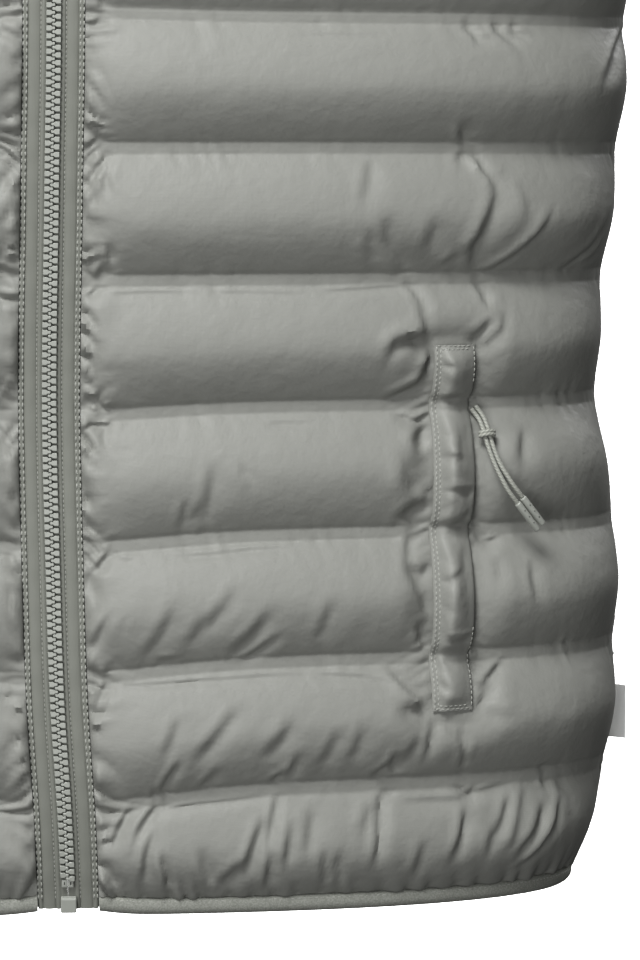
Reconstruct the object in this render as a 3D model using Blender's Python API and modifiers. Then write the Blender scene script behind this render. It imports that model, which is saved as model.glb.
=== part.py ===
"""Quilted body warmer with a full-length zip, in the rounded form it has when worn, hollow and empty.

Metres, +Z up. The front faces -Y and the wearer's left is +X. The origin lies between the neck ends
of the two shoulder seams, where a wearer's shoulders hold the garment up. Heights are measured up from
the lower edge of the hem, and arcs run round the body from the centre front to the centre back.
"""

import math
from functools import lru_cache

import bmesh
import bpy
import numpy as np
from mathutils import Matrix, Vector

LEFT, RIGHT = 1, -1
SIDE_NAMES = {LEFT: "left", RIGHT: "right"}

# Body sizes.
BODY_LENGTH = 0.680
SEAM_GAP = 0.0003
WALL = 0.0018
NECK_HALF_WIDTH = 0.080
NECK_FRONT = 0.595
FRONT_TOP = 0.676
BACK_NECK_DROP = 0.014
BACK_DROP_START = 0.600
SECTION_POWER = 2.5
RING_STEPS = 240

# Sections of the body at its quilting bands, from the hem up to the neck. Columns: height, half width,
# depth of the front, depth of the back, and how far the side line lies behind the origin.
SECTIONS = (
    (0.000, 0.2165, 0.0930, 0.0950, 0.000),
    (0.020, 0.2259, 0.0975, 0.1000, 0.000),
    (0.045, 0.2334, 0.1010, 0.1040, 0.000),
    (0.095, 0.2369, 0.1030, 0.1060, 0.000),
    (0.146, 0.2363, 0.1025, 0.1040, 0.000),
    (0.190, 0.2293, 0.1020, 0.1000, 0.000),
    (0.250, 0.2310, 0.1065, 0.1015, 0.000),
    (0.304, 0.2370, 0.1110, 0.1060, 0.000),
    (0.358, 0.2401, 0.1140, 0.1120, 0.000),
    (0.410, 0.2400, 0.1130, 0.1150, 0.001),
    (0.462, 0.2347, 0.1090, 0.1160, 0.002),
    (0.514, 0.2255, 0.1020, 0.1150, 0.004),
    (0.566, 0.2140, 0.0915, 0.1110, 0.006),
    (0.600, 0.2050, 0.0810, 0.1060, 0.008),
    (0.628, 0.1930, 0.0690, 0.0990, 0.009),
    (0.645, 0.1640, 0.0570, 0.0930, 0.010),
    (0.660, 0.1290, 0.0450, 0.0850, 0.010),
    (0.672, 0.0990, 0.0350, 0.0760, 0.010),
    (0.680, 0.0800, 0.0280, 0.0680, 0.010),
)

# Sideways wander of the zip line, which dies away from the centre front. Columns: height, shift.
SWAY = (
    (0.000, 0.0064),
    (0.042, 0.0048),
    (0.084, 0.0020),
    (0.140, 0.0003),
    (0.200, -0.0008),
    (0.280, 0.0005),
    (0.363, 0.0019),
    (0.480, 0.0005),
    (0.600, 0.0000),
    (0.680, 0.0000),
)
SWAY_REACH = 0.060

# How the cloth hangs off level. Columns: height, rise at the zip, rise elsewhere, reach from the zip.
HANG = (
    (0.0000, -0.0024, -0.0052, 0.018),
    (0.0067, -0.0028, -0.0052, 0.020),
    (0.0200, -0.0036, -0.0030, 0.032),
    (0.0445, -0.0050, 0.0020, 0.055),
    (0.0945, -0.0028, 0.0036, 0.055),
    (0.1460, -0.0020, 0.0032, 0.055),
    (0.1980, -0.0010, 0.0026, 0.055),
    (0.2510, 0.0000, 0.0004, 0.055),
    (0.3035, 0.0000, 0.0002, 0.055),
    (0.3575, -0.0006, -0.0023, 0.055),
    (0.4100, 0.0000, -0.0010, 0.055),
    (0.4620, 0.0000, 0.0000, 0.055),
    (0.6800, 0.0000, 0.0000, 0.055),
)

# Quilting: heights of the flat bands, and how far the filling swells between them.
BANDS = (
    0.0445, 0.0945, 0.1460, 0.1980, 0.2510, 0.3035, 0.3575, 0.4100, 0.4620, 0.5140, 0.5660, 0.6180, 0.6520,
)
BAND_HEIGHT = 0.0050
PUFF_HEIGHT = 0.0120
PUFF_BAFFLE = 0.047
PUFF_ROWS = (0.0, 0.22, 0.62, 1.0)
PUFF_LOW_POWER = 0.50
PUFF_HIGH_POWER = 0.80
EDGE_PUFF = 0.25
EDGE_ROUND = 0.032
SIDE_PUFF = 0.08
SIDE_ROUND = 0.080

# Armholes: an oval round the side line, with its own reach into the front and the back.
ARMHOLE_LOW = 0.4075
SHOULDER_POINT = 0.6240
ARMHOLE_FRONT = 0.060
ARMHOLE_BACK = 0.050
BINDING_WIDTH = 0.008
ARMHOLE_END_ROWS = (0.004, 0.012)
# Columns of the binding's section: share of its width, lift outside the wall, depth inside it.
BINDING_SECTION = ((0.0, 0.0006, 0.0024), (0.5, 0.0018, 0.0030), (1.0, 0.0006, 0.0024))

# Columns of each panel from edge to edge.
FRONT_COLUMNS_INSIDE = 7
WELT_COLUMNS = 2
FRONT_COLUMNS_OUTSIDE = 5
BACK_COLUMNS_HALF = 11

# Hem, zip and collar.
HEM_TOP = 0.0067
HEM_ROWS = ((0.0000, 0.0004), (0.0032, 0.0017), (0.0064, 0.0006))
HEM_INSIDE = 0.0028
PLACKET_HALF = 0.0124
TAPE_THICKNESS = 0.0012
TAPE_LOW = 0.0012
TAPE_TOP_RISE = 0.985
ZIP_HEM_STATIONS = (0.014, 0.024, 0.036)
ZIP_BODY_STATIONS = 20
ZIP_COLLAR_STATIONS = (0.06, 0.30, 0.55)
CHAIN_WIDTH = 0.0054
CHAIN_THICKNESS = 0.0025
BOX_LOW = 0.0006
BOX_SIDE = 0.0064
BOX_THICKNESS = 0.0034
BOX_SOFT_EDGE = 0.0006
COLLAR_HEIGHT = 0.066
COLLAR_LEAN = 0.06
COLLAR_INSET = 0.0012
COLLAR_WALL = 0.0022
COLLAR_PUFF = 0.007
COLLAR_BAND = 0.52
COLLAR_EDGE = 0.020
COLLAR_END_PUFF = 0.3

# Slider and pull tab, in the slider's own frame: x across, f out of the cloth, u up the zip.
SLIDER_RISE = 0.80
SLIDER_WIDTH, SLIDER_DEPTH, SLIDER_TALL = 0.0086, 0.0032, 0.0115
SLIDER_SOFT_EDGE = 0.0007
CROWN_WIDTH, CROWN_LOW, CROWN_HIGH, CROWN_FRONT = 0.0026, -0.0042, 0.0042, 0.0078
EYE_LOW, EYE_HIGH, EYE_BACK, EYE_FRONT = -0.0020, 0.0028, 0.0040, 0.0068
PULL_AXIS_UP, PULL_AXIS_OUT = -0.0008, 0.0054
PULL_WIDTH, PULL_LENGTH, PULL_THICKNESS = 0.0070, 0.0300, 0.0014
PULL_WINDOW_WIDTH, PULL_WINDOW_LENGTH, PULL_BAR = 0.0036, 0.0062, 0.0007
PULL_CORNER = 0.0015

# Pocket welts, and the corded pull of each pocket's hidden zip.
WELT_INNER, WELT_OUTER = 0.1520, 0.1682
WELT_LOW, WELT_HIGH = 0.0730, 0.2241
WELT_COLUMNS_TOP = 0.3300
WELT_THICKNESS = 0.0026
WELT_CROWN = 1.25
PINCH = 0.45
PINCH_REACH = 0.016
CORD_DIAMETER = 0.0018
CORD_EXIT_LIFT = 0.0017
CORD_KNOT_LIFT = 0.0031
CORD_APART = 0.0011
CORD_DRAPE = 0.5
# Columns of the cord's route: distance from the centre plane, height.
CORD_ROUTE = (
    (0.1707, 0.1963),
    (0.1738, 0.1918),
    (0.1756, 0.1865),
    (0.1767, 0.1820),
    (0.1779, 0.1780),
    (0.1795, 0.1735),
    (0.1814, 0.1694),
    (0.1834, 0.1657),
    (0.1856, 0.1620),
    (0.1889, 0.1577),
)
CORD_POINTS = 17
CORD_FITS = 6
KNOT_AT = 0.25
KNOT_WIRE = 0.0008
KNOT_SIDES = 14
TIP_LENGTH = 0.0150
TIP_DIAMETER = 0.0028
TIP_SPREAD = 0.0017
# Columns of the tip's profile: share of its length, share of its radius.
TIP_PROFILE = ((0.0, 0.86), (0.06, 1.0), (0.94, 1.0), (1.0, 0.70))

# Side label, sewn into the left side seam.
LABEL_LOW, LABEL_HIGH = 0.0505, 0.0720
LABEL_EDGE_X = 0.2400
LABEL_THICKNESS = 0.0010
LABEL_ROWS = 5

COLOURS = {
    "shell": (0.262, 0.268, 0.243, 1.0),
    "binding": (0.235, 0.240, 0.218, 1.0),
    "tape": (0.215, 0.220, 0.198, 1.0),
    "moulded": (0.400, 0.405, 0.375, 1.0),
    "cord": (0.330, 0.335, 0.310, 1.0),
    "label": (0.560, 0.565, 0.545, 1.0),
}
ROUGHNESS = {"shell": 0.42, "binding": 0.85, "tape": 0.60, "moulded": 0.38, "cord": 0.70, "label": 0.75}


def smooth_step(value):
    """0 below 0, 1 above 1, and an easy rise between them."""
    value = min(max(value, 0.0), 1.0)
    return value * value * (3.0 - 2.0 * value)


def spline_row(table, height):
    """The table's columns at a height, on a smooth curve through its rows."""
    rows = np.array(table, float)
    heights = rows[:, 0]
    height = min(max(height, heights[0]), heights[-1])
    slopes = np.gradient(rows, heights, axis=0)
    i = int(min(max(np.searchsorted(heights, height) - 1, 0), len(heights) - 2))
    step = heights[i + 1] - heights[i]
    t = (height - heights[i]) / step
    start, end = rows[i], rows[i + 1]
    return (
        (2 * t**3 - 3 * t**2 + 1) * start
        + (t**3 - 2 * t**2 + t) * step * slopes[i]
        + (3 * t**2 - 2 * t**3) * end
        + (t**3 - t**2) * step * slopes[i + 1]
    )


@lru_cache(maxsize=None)
def half_ring(height):
    """One side's half section at a height: x, y and the arc length from centre front to centre back."""
    _, half_width, front_depth, back_depth, side_shift = spline_row(SECTIONS, height)
    angle = np.linspace(-math.pi / 2, math.pi / 2, RING_STEPS + 1)
    power = 2.0 / SECTION_POWER
    x = half_width * np.abs(np.cos(angle)) ** power
    depth = np.where(angle < 0, front_depth, back_depth)
    y = side_shift + depth * np.sign(angle) * np.abs(np.sin(angle)) ** power
    arc = np.concatenate([[0.0], np.cumsum(np.hypot(np.diff(x), np.diff(y)))])
    return x, y, arc


def side_arc(height):
    """Arc from the centre front to the side line, which is the side seam and then the shoulder seam."""
    return half_ring(height)[2][RING_STEPS // 2]


def back_arc(height):
    """Arc from the centre front to the centre back."""
    return half_ring(height)[2][-1]


def arc_at(height, across):
    """Arc on the front of the section where it lies this far from the centre plane."""
    x, _, arc = half_ring(height)
    front = RING_STEPS // 2 + 1
    return float(np.interp(across, x[:front], arc[:front]))


def cloth(side, height, arc):
    """Point of the quilted wall at band level."""
    x, y, arcs = half_ring(height)
    sway = spline_row(SWAY, height)[1] * math.exp(-((arc / SWAY_REACH) ** 2))
    side_line = arcs[RING_STEPS // 2]
    behind = max(0.0, (arc - side_line) / (arcs[-1] - side_line))
    near_neck = smooth_step((height - BACK_DROP_START) / (BODY_LENGTH - BACK_DROP_START))
    drop = BACK_NECK_DROP * near_neck * smooth_step(behind)
    _, by_zip, elsewhere, reach = spline_row(HANG, height)
    hang = elsewhere + (by_zip - elsewhere) * math.exp(-((arc / reach) ** 2))
    return Vector((
        side * float(np.interp(arc, arcs, x)) + sway,
        float(np.interp(arc, arcs, y)),
        height - BODY_LENGTH - drop + hang,
    ))


def outward(side, height, arc):
    """Unit normal of the wall, pointing away from the wearer."""
    step = 0.002
    along = cloth(side, height, arc + step) - cloth(side, height, arc - step)
    up = cloth(side, height + step, arc) - cloth(side, height - step, arc)
    return (along.cross(up) * side).normalized()


def raised(side, height, arc, lift):
    """Point of the wall moved outwards by lift."""
    return cloth(side, height, arc) + outward(side, height, arc) * lift


def channels(top):
    """Lower and upper edge of each padded channel, from the hem up."""
    lows = [HEM_TOP] + [band + BAND_HEIGHT / 2 for band in BANDS]
    highs = [band - BAND_HEIGHT / 2 for band in BANDS] + [top]
    return list(zip(lows, highs))


def baffle_limits(height):
    """Lower and upper edge of the padded channel that holds this height."""
    for low, high in channels(BODY_LENGTH):
        if low <= height <= high:
            return low, high
    return None


def puff_profile(share):
    """Swell of a channel from its lower edge, 0, to its upper edge, 1. The filling sags, so it is low."""
    peak = PUFF_LOW_POWER / (PUFF_LOW_POWER + PUFF_HIGH_POWER)
    top = peak**PUFF_LOW_POWER * (1 - peak) ** PUFF_HIGH_POWER
    return share**PUFF_LOW_POWER * (1 - share) ** PUFF_HIGH_POWER / top


def edge_rise(distance):
    """How much of the swell is left this far from the zip."""
    inside = min(max(distance / EDGE_ROUND, 0.0), 1.0)
    return EDGE_PUFF + (1 - EDGE_PUFF) * math.sqrt(1 - (1 - inside) ** 2)


def side_rise(distance):
    """How much of the swell is left this far from a side seam, where the cloth lies flatter."""
    return SIDE_PUFF + (1 - SIDE_PUFF) * smooth_step(distance / SIDE_ROUND)


def pocket_pinch(height, arc):
    """How much of the swell is left under and beside the stitched welt."""
    across = max(arc_at(height, WELT_INNER) - arc, arc - arc_at(height, WELT_OUTER), 0.0)
    above = max(WELT_LOW - height, height - WELT_HIGH, 0.0)
    near = 1.0 - smooth_step(math.hypot(across, above) / PINCH_REACH)
    return 1.0 - (1.0 - PINCH) * near


def puff(height, from_side, from_zip=EDGE_ROUND):
    """Swell of the wall at a height, this far from its side seam and the zip."""
    limits = baffle_limits(height)
    if limits is None:
        return 0.0
    low, high = limits
    full = PUFF_HEIGHT * min(1.0, (high - low) / PUFF_BAFFLE)
    return full * puff_profile((height - low) / (high - low)) * side_rise(from_side) * edge_rise(from_zip)


def armhole_depth(height, reach):
    """How far the armhole's edge lies from the side line."""
    middle = (ARMHOLE_LOW + SHOULDER_POINT) / 2
    half = (SHOULDER_POINT - ARMHOLE_LOW) / 2
    return reach * math.sqrt(max(0.0, 1 - ((height - middle) / half) ** 2))


def neck_across(height):
    """Half width of the front neckline at a height."""
    fall = (BODY_LENGTH - height) / (BODY_LENGTH - NECK_FRONT)
    return NECK_HALF_WIDTH * math.sqrt(max(0.0, 1 - fall**2))


def panel_rows(top):
    """Heights of a panel's rows: the channel edges and swell, the armhole's ends and the welt's ends."""
    ends = [ARMHOLE_LOW + step for step in ARMHOLE_END_ROWS]
    ends += [SHOULDER_POINT - step for step in ARMHOLE_END_ROWS]
    fixed = [ARMHOLE_LOW, SHOULDER_POINT, WELT_LOW, WELT_HIGH, NECK_FRONT, top] + ends
    rows = list(fixed)
    for low, high in channels(top):
        for share in PUFF_ROWS:
            height = low + (high - low) * share
            if min(abs(height - f) for f in fixed) > 0.003:
                rows.append(height)
    return sorted(rows)


def inside_rows(heights):
    """Numbers of the rows that the plain inside keeps: one a channel low down, and all beside the armhole."""
    keep = [HEM_TOP, WELT_LOW, WELT_HIGH] + [b - BAND_HEIGHT / 2 for b in BANDS]
    return [
        i
        for i, height in enumerate(heights)
        if height >= ARMHOLE_LOW - 1e-6 or min(abs(height - k) for k in keep) < 1e-6
    ]


def front_limits(height):
    """Arcs of the front panel's two edges at a height."""
    low = arc_at(height, max(PLACKET_HALF, neck_across(height)))
    depth = armhole_depth(height, ARMHOLE_FRONT) if ARMHOLE_LOW < height < SHOULDER_POINT else 0.0
    return low, side_arc(height) - depth - SEAM_GAP / 2


@lru_cache(maxsize=None)
def front_shares(height):
    """Places of the front panel's columns at a height, with two of them on the pocket welt's edges."""
    low, high = front_limits(height)
    inner = (arc_at(height, WELT_INNER) - low) / (high - low)
    outer = (arc_at(height, WELT_OUTER) - low) / (high - low)
    return np.concatenate([
        np.linspace(0.0, inner, FRONT_COLUMNS_INSIDE + 1),
        np.linspace(inner, outer, WELT_COLUMNS + 1)[1:],
        np.linspace(outer, 1.0, FRONT_COLUMNS_OUTSIDE + 1)[1:],
    ])


def front_lift(height, arc):
    """Swell of a front panel."""
    low, high = front_limits(height)
    return puff(height, high - arc, arc - low) * pocket_pinch(height, arc)


def front_arcs(height):
    """Arcs of the front panel's columns at a height."""
    low, high = front_limits(height)
    return low + front_shares(min(height, WELT_COLUMNS_TOP)) * (high - low)


def back_start(height):
    """Arc of the back panel's edge at a height."""
    depth = armhole_depth(height, ARMHOLE_BACK) if ARMHOLE_LOW < height < SHOULDER_POINT else 0.0
    return side_arc(height) + depth + SEAM_GAP / 2


def back_places(height):
    """(side, arc) of the back panel's columns, from the left seam across the centre back to the right."""
    half = np.linspace(back_start(height), back_arc(height), BACK_COLUMNS_HALF + 1)
    return [(LEFT, a) for a in half] + [(RIGHT, a) for a in half[-2::-1]]


def material(kind):
    """One plain finish for each kind of piece."""
    if kind in bpy.data.materials:
        return bpy.data.materials[kind]
    made = bpy.data.materials.new(kind)
    made.use_nodes = True
    shader = made.node_tree.nodes["Principled BSDF"]
    shader.inputs["Base Color"].default_value = COLOURS[kind]
    shader.inputs["Roughness"].default_value = ROUGHNESS[kind]
    shader.inputs["Metallic"].default_value = 0.0
    return made


def add_object(name, data, kind):
    """A named object of the garment, with its finish."""
    data.materials.append(material(kind))
    made = bpy.data.objects.new(name, data)
    bpy.data.collections["quilted_body_warmer"].objects.link(made)
    return made


def add_mesh(name, bm, kind):
    """The object of a closed mesh, with its faces turned out."""
    bmesh.ops.recalc_face_normals(bm, faces=bm.faces)
    mesh = bpy.data.meshes.new(name)
    bm.to_mesh(mesh)
    bm.free()
    mesh.shade_smooth()
    mesh.set_sharp_from_angle(angle=math.radians(40))
    return add_object(name, mesh, kind)


def wall(name, outer, inner, kept, kind, looped=False):
    """A closed wall between a grid of outer points and a plainer inner grid, which has only the kept rows."""
    bm = bmesh.new()
    out = [[bm.verts.new(p) for p in row] for row in outer]
    back = {i: [bm.verts.new(p) for p in inner[i]] for i in kept}
    columns = len(out[0])
    spans = [(c, (c + 1) % columns) for c in range(columns if looped else columns - 1)]
    for low, high in zip(out, out[1:]):
        for a, b in spans:
            bm.faces.new((low[a], low[b], high[b], high[a]))
    for i, k in zip(kept, kept[1:]):
        for a, b in spans:
            bm.faces.new((back[i][a], back[k][a], back[k][b], back[i][b]))
        for c in () if looped else (0, columns - 1):
            edge = [out[r][c] for r in range(i, k + 1)]
            bm.faces.new(edge + [back[k][c], back[i][c]])
    for i in (0, len(out) - 1):
        for a, b in spans:
            bm.faces.new((out[i][a], out[i][b], back[i][b], back[i][a]))
    return add_mesh(name, bm, kind)


def make_front(side):
    """A front panel, from the zip to the side seam, armhole and shoulder."""
    heights = panel_rows(FRONT_TOP)
    outer = [[raised(side, h, a, front_lift(h, a)) for a in front_arcs(h)] for h in heights]
    inner = [[raised(side, h, a, -WALL) for a in front_arcs(h)] for h in heights]
    return wall("front_" + SIDE_NAMES[side], outer, inner, inside_rows(heights), "shell")


def make_back():
    """The back panel, in one piece from side seam to side seam."""
    heights = panel_rows(BODY_LENGTH)
    outer, inner = [], []
    for height in heights:
        start = back_start(height)
        places = back_places(height)
        lifts = [puff(height, a - start) for _, a in places]
        outer.append([raised(s, height, a, lift) for (s, a), lift in zip(places, lifts)])
        inner.append([raised(s, height, a, -WALL) for s, a in places])
    return wall("back", outer, inner, inside_rows(heights), "shell")


def make_hem_binding():
    """The stretch binding round the hem, open at the zip."""
    outer, inner = [], []
    for height, lift in HEM_ROWS:
        places = [(LEFT, a) for a in front_arcs(height)]
        places += back_places(height)
        places += [(RIGHT, a) for a in front_arcs(height)[::-1]]
        outer.append([raised(s, height, a, lift) for s, a in places])
        inner.append([raised(s, height, a, -HEM_INSIDE) for s, a in places])
    return wall("hem_binding", outer, inner, [0, len(HEM_ROWS) - 1], "binding")


def make_armhole_binding(side):
    """The stretch binding round one armhole, on the oval that the panels' edges leave."""
    middle = (ARMHOLE_LOW + SHOULDER_POINT) / 2
    half = (SHOULDER_POINT - ARMHOLE_LOW) / 2
    heights = [h for h in panel_rows(FRONT_TOP) if ARMHOLE_LOW - 1e-6 < h < SHOULDER_POINT + 1e-6]
    turns = [math.acos(min(1.0, max(-1.0, (middle - h) / half))) for h in heights]
    turns += [2 * math.pi - t for t in turns[-2:0:-1]]
    outer, inner = [], []
    for share, lift, depth in BINDING_SECTION:
        inset = SEAM_GAP * 1.5 + BINDING_WIDTH * share
        row_out, row_in = [], []
        for turn in turns:
            reach = ARMHOLE_FRONT if turn < math.pi else ARMHOLE_BACK
            height = middle - (half - inset) * math.cos(turn)
            arc = side_arc(height) - (reach - inset) * math.sin(turn)
            row_out.append(raised(side, height, arc, lift))
            row_in.append(raised(side, height, arc, -depth))
        outer.append(row_out)
        inner.append(row_in)
    return wall("armhole_binding_" + SIDE_NAMES[side], outer, inner, [0, 2], "binding", looped=True)


def neckline(side):
    """Points of one side's neckline from the centre front to the shoulder seam, and on to the centre back."""
    front = [cloth(side, h, front_limits(h)[0]) for h in panel_rows(FRONT_TOP) if h >= NECK_FRONT - 1e-6]
    behind = np.linspace(side_arc(BODY_LENGTH), back_arc(BODY_LENGTH), BACK_COLUMNS_HALF + 1)
    return front + [cloth(side, BODY_LENGTH, a) for a in behind]


def collar_point(base, rise, lift):
    """A point of the collar above one of the neckline. Rise goes from 0 at the seam to 1 at the top edge."""
    beside_zip = math.copysign(max(abs(base.x) - PLACKET_HALF, 0.0), base.x)
    around = Vector((beside_zip, base.y, 0.0))
    out = around.normalized()
    shift = lift - COLLAR_INSET - COLLAR_LEAN * rise * around.length
    return base + out * shift + Vector((0.0, 0.0, 2 * SEAM_GAP + COLLAR_HEIGHT * rise))


def make_collar():
    """The stand collar, quilted in two channels, open at the zip."""
    base = neckline(LEFT)
    base += neckline(RIGHT)[-2::-1]
    ends = np.concatenate([[0.0], np.cumsum([(b - a).length for a, b in zip(base, base[1:])])])
    band = BAND_HEIGHT / COLLAR_HEIGHT / 2
    tiers = ((0.0, COLLAR_BAND - band), (COLLAR_BAND + band, 1.0))
    rises = [low + (high - low) * share for low, high in tiers for share in PUFF_ROWS]
    swells = [puff_profile(share) for _ in tiers for share in PUFF_ROWS]
    outer, inner = [], []
    for rise, swell in zip(rises, swells):
        fade = [min(1.0, COLLAR_END_PUFF + min(e, ends[-1] - e) / COLLAR_EDGE) for e in ends]
        outer.append([collar_point(b, rise, COLLAR_PUFF * swell * f) for b, f in zip(base, fade)])
        inner.append([collar_point(b, rise, -COLLAR_WALL) for b in base])
    rows = len(PUFF_ROWS)
    return wall("collar", outer, inner, [0, rows - 1, rows, 2 * rows - 1], "shell")


def zip_stations(low, top_rise):
    """Stations along the zip, as (on the collar, height or rise), from a hem height to a collar rise."""
    body = [low, *ZIP_HEM_STATIONS, *np.linspace(BANDS[0], NECK_FRONT, ZIP_BODY_STATIONS)]
    return [(False, h) for h in body] + [(True, r) for r in (*ZIP_COLLAR_STATIONS, top_rise)]


def zip_point(station, across, lift):
    """A point on the zip line, across from its middle and out of the cloth."""
    on_collar, value = station
    if not on_collar:
        out = outward(LEFT, value, PLACKET_HALF)
        flat = Vector((0.0, out.y, out.z)).normalized()
        edge = cloth(LEFT, value, arc_at(value, PLACKET_HALF))
        return Vector((edge.x - PLACKET_HALF + across, edge.y, edge.z)) + flat * lift
    start = cloth(LEFT, NECK_FRONT, arc_at(NECK_FRONT, PLACKET_HALF))
    point = collar_point(Vector((0.0, start.y, start.z)), value, lift)
    return Vector((across, point.y, point.z))


def make_zip_tape(side):
    """One flat half of the zip's tape, from its middle to the panel's edge."""
    across = (side * SEAM_GAP / 2, side * (PLACKET_HALF - SEAM_GAP))
    stations = zip_stations(TAPE_LOW, TAPE_TOP_RISE)
    outer = [[zip_point(s, x, 0.0) for x in across] for s in stations]
    inner = [[zip_point(s, x, -TAPE_THICKNESS) for x in across] for s in stations]
    return wall("zip_tape_" + SIDE_NAMES[side], outer, inner, list(range(len(stations))), "tape")


def zip_place(station, above):
    """Place of a hard piece on the tape: its middle at one station, and its own up towards another."""
    middle = zip_point(station, 0.0, 0.0)
    up = zip_point(above, 0.0, 0.0) - middle
    return Matrix.Translation(middle) @ Matrix.Rotation(math.atan2(-up.y, up.z), 4, "X")


def slider_place():
    """Place of the slider, near the top of the collar."""
    return zip_place((True, SLIDER_RISE), (True, 1.0))


def make_zip_chain():
    """The closed row of teeth as one plain bar on the tapes, between the box and the slider."""
    slider_low = SLIDER_RISE - (SLIDER_TALL / 2 + 2 * SEAM_GAP) / COLLAR_HEIGHT
    stations = zip_stations(BOX_LOW + BOX_SIDE + 2 * SEAM_GAP, slider_low)
    across = (-CHAIN_WIDTH / 2, CHAIN_WIDTH / 2)
    outer = [[zip_point(s, x, SEAM_GAP + CHAIN_THICKNESS) for x in across] for s in stations]
    inner = [[zip_point(s, x, SEAM_GAP) for x in across] for s in stations]
    return wall("zip_chain", outer, inner, list(range(len(stations))), "moulded")


def block(low, high):
    """A mesh box between two corners, given as x across, f out and u up, in the slider's frame."""
    bm = bmesh.new()
    size = Vector(high) - Vector(low)
    middle = (Vector(high) + Vector(low)) / 2
    middle.y = -middle.y
    bmesh.ops.create_cube(bm, size=1.0)
    bmesh.ops.scale(bm, vec=size, verts=bm.verts)
    bmesh.ops.translate(bm, vec=middle, verts=bm.verts)
    return bm


def round_edges(made, width):
    """Softens a moulded piece's edges."""
    bevel = made.modifiers.new("soft_edges", "BEVEL")
    bevel.width = width
    bevel.segments = 2
    bevel.limit_method = "ANGLE"


def boolean(made, other, operation):
    """Joins or cuts a piece by a helper, which stays out of the render."""
    change = made.modifiers.new(operation.lower(), "BOOLEAN")
    change.operation = operation
    change.object = other


def helper(name, bm, place):
    """A hidden mesh that joins or cuts a piece."""
    made = add_mesh(name, bm, "moulded")
    bpy.data.collections["quilted_body_warmer"].objects.unlink(made)
    bpy.data.collections["helpers"].objects.link(made)
    made.matrix_world = place
    made.hide_render = True
    made.display_type = "WIRE"
    return made


def make_zip_box():
    """The square box that holds the zip's lower end."""
    base = SEAM_GAP * 1.5
    bm = block((-BOX_SIDE / 2, base, 0.0), (BOX_SIDE / 2, base + BOX_THICKNESS, BOX_SIDE))
    made = add_mesh("zip_box", bm, "moulded")
    made.matrix_world = zip_place((False, BOX_LOW), (False, BOX_LOW + BOX_SIDE))
    round_edges(made, BOX_SOFT_EDGE)
    return made


def make_zip_slider():
    """The slider at the top of the zip, with the crown that its pull tab hangs from."""
    place = slider_place()
    base = SEAM_GAP * 1.5
    bm = block(
        (-SLIDER_WIDTH / 2, base, -SLIDER_TALL / 2),
        (SLIDER_WIDTH / 2, base + SLIDER_DEPTH, SLIDER_TALL / 2),
    )
    made = add_mesh("zip_slider", bm, "moulded")
    made.matrix_world = place
    round_edges(made, SLIDER_SOFT_EDGE)
    crown = block(
        (-CROWN_WIDTH / 2, SLIDER_DEPTH * 0.6, CROWN_LOW), (CROWN_WIDTH / 2, CROWN_FRONT, CROWN_HIGH)
    )
    boolean(made, helper("slider_crown", crown, place), "UNION")
    eye = block((-CROWN_WIDTH, EYE_BACK, EYE_LOW), (CROWN_WIDTH, EYE_FRONT, EYE_HIGH))
    boolean(made, helper("slider_eye", eye, place), "DIFFERENCE")
    return made


def make_zip_pull():
    """The pull tab, hanging from the crown by the bar at its top. Its origin is on the hinge line."""
    axis = slider_place() @ Matrix.Translation((0.0, -PULL_AXIS_OUT, PULL_AXIS_UP))
    half = PULL_THICKNESS / 2
    bm = block((-PULL_WIDTH / 2, -half, -PULL_LENGTH), (PULL_WIDTH / 2, half, PULL_BAR))
    ends = [e for e in bm.edges if abs(e.verts[0].co.y - e.verts[1].co.y) > half]
    lower = [e for e in ends if e.verts[0].co.z < -PULL_LENGTH / 2]
    bmesh.ops.bevel(bm, geom=lower, offset=PULL_CORNER, segments=3, affect="EDGES", profile=0.5)
    made = add_mesh("zip_pull", bm, "moulded")
    made.matrix_world = axis
    window = block(
        (-PULL_WINDOW_WIDTH / 2, -PULL_WIDTH, -PULL_WINDOW_LENGTH),
        (PULL_WINDOW_WIDTH / 2, PULL_WIDTH, -PULL_BAR),
    )
    boolean(made, helper("pull_window", window, axis), "DIFFERENCE")
    return made


def make_pocket_welt(side):
    """The stitched strip over a pocket's zip, made from the panel's own points, moved out."""
    heights = [h for h in panel_rows(FRONT_TOP) if WELT_LOW - 1e-6 <= h <= WELT_HIGH + 1e-6]
    columns = slice(FRONT_COLUMNS_INSIDE, FRONT_COLUMNS_INSIDE + WELT_COLUMNS + 1)
    outer, inner = [], []
    for height in heights:
        arcs = front_arcs(height)[columns]
        lifts = [front_lift(height, a) for a in arcs]
        crowned = [WELT_THICKNESS * (1.0 if i in (0, WELT_COLUMNS) else WELT_CROWN) for i in range(len(arcs))]
        outer.append([
            raised(side, height, a, lift + SEAM_GAP + t) for a, lift, t in zip(arcs, lifts, crowned)
        ])
        inner.append([raised(side, height, a, lift + SEAM_GAP) for a, lift in zip(arcs, lifts)])
    return wall("pocket_welt_" + SIDE_NAMES[side], outer, inner, list(range(len(heights))), "shell")


def add_tube(name, points, diameter, kind, closed=False, radii=None):
    """A round cord or rod along points, with filled ends unless it is a closed ring."""
    curve = bpy.data.curves.new(name, "CURVE")
    curve.dimensions = "3D"
    curve.bevel_depth = diameter / 2
    curve.bevel_resolution = 2
    curve.use_fill_caps = not closed
    spline = curve.splines.new("POLY")
    spline.points.add(len(points) - 1)
    for i, (target, point) in enumerate(zip(spline.points, points)):
        target.co = (*point, 1.0)
        target.radius = 1.0 if radii is None else radii[i]
    spline.use_cyclic_u = closed
    return add_object(name, curve, kind)


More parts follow.
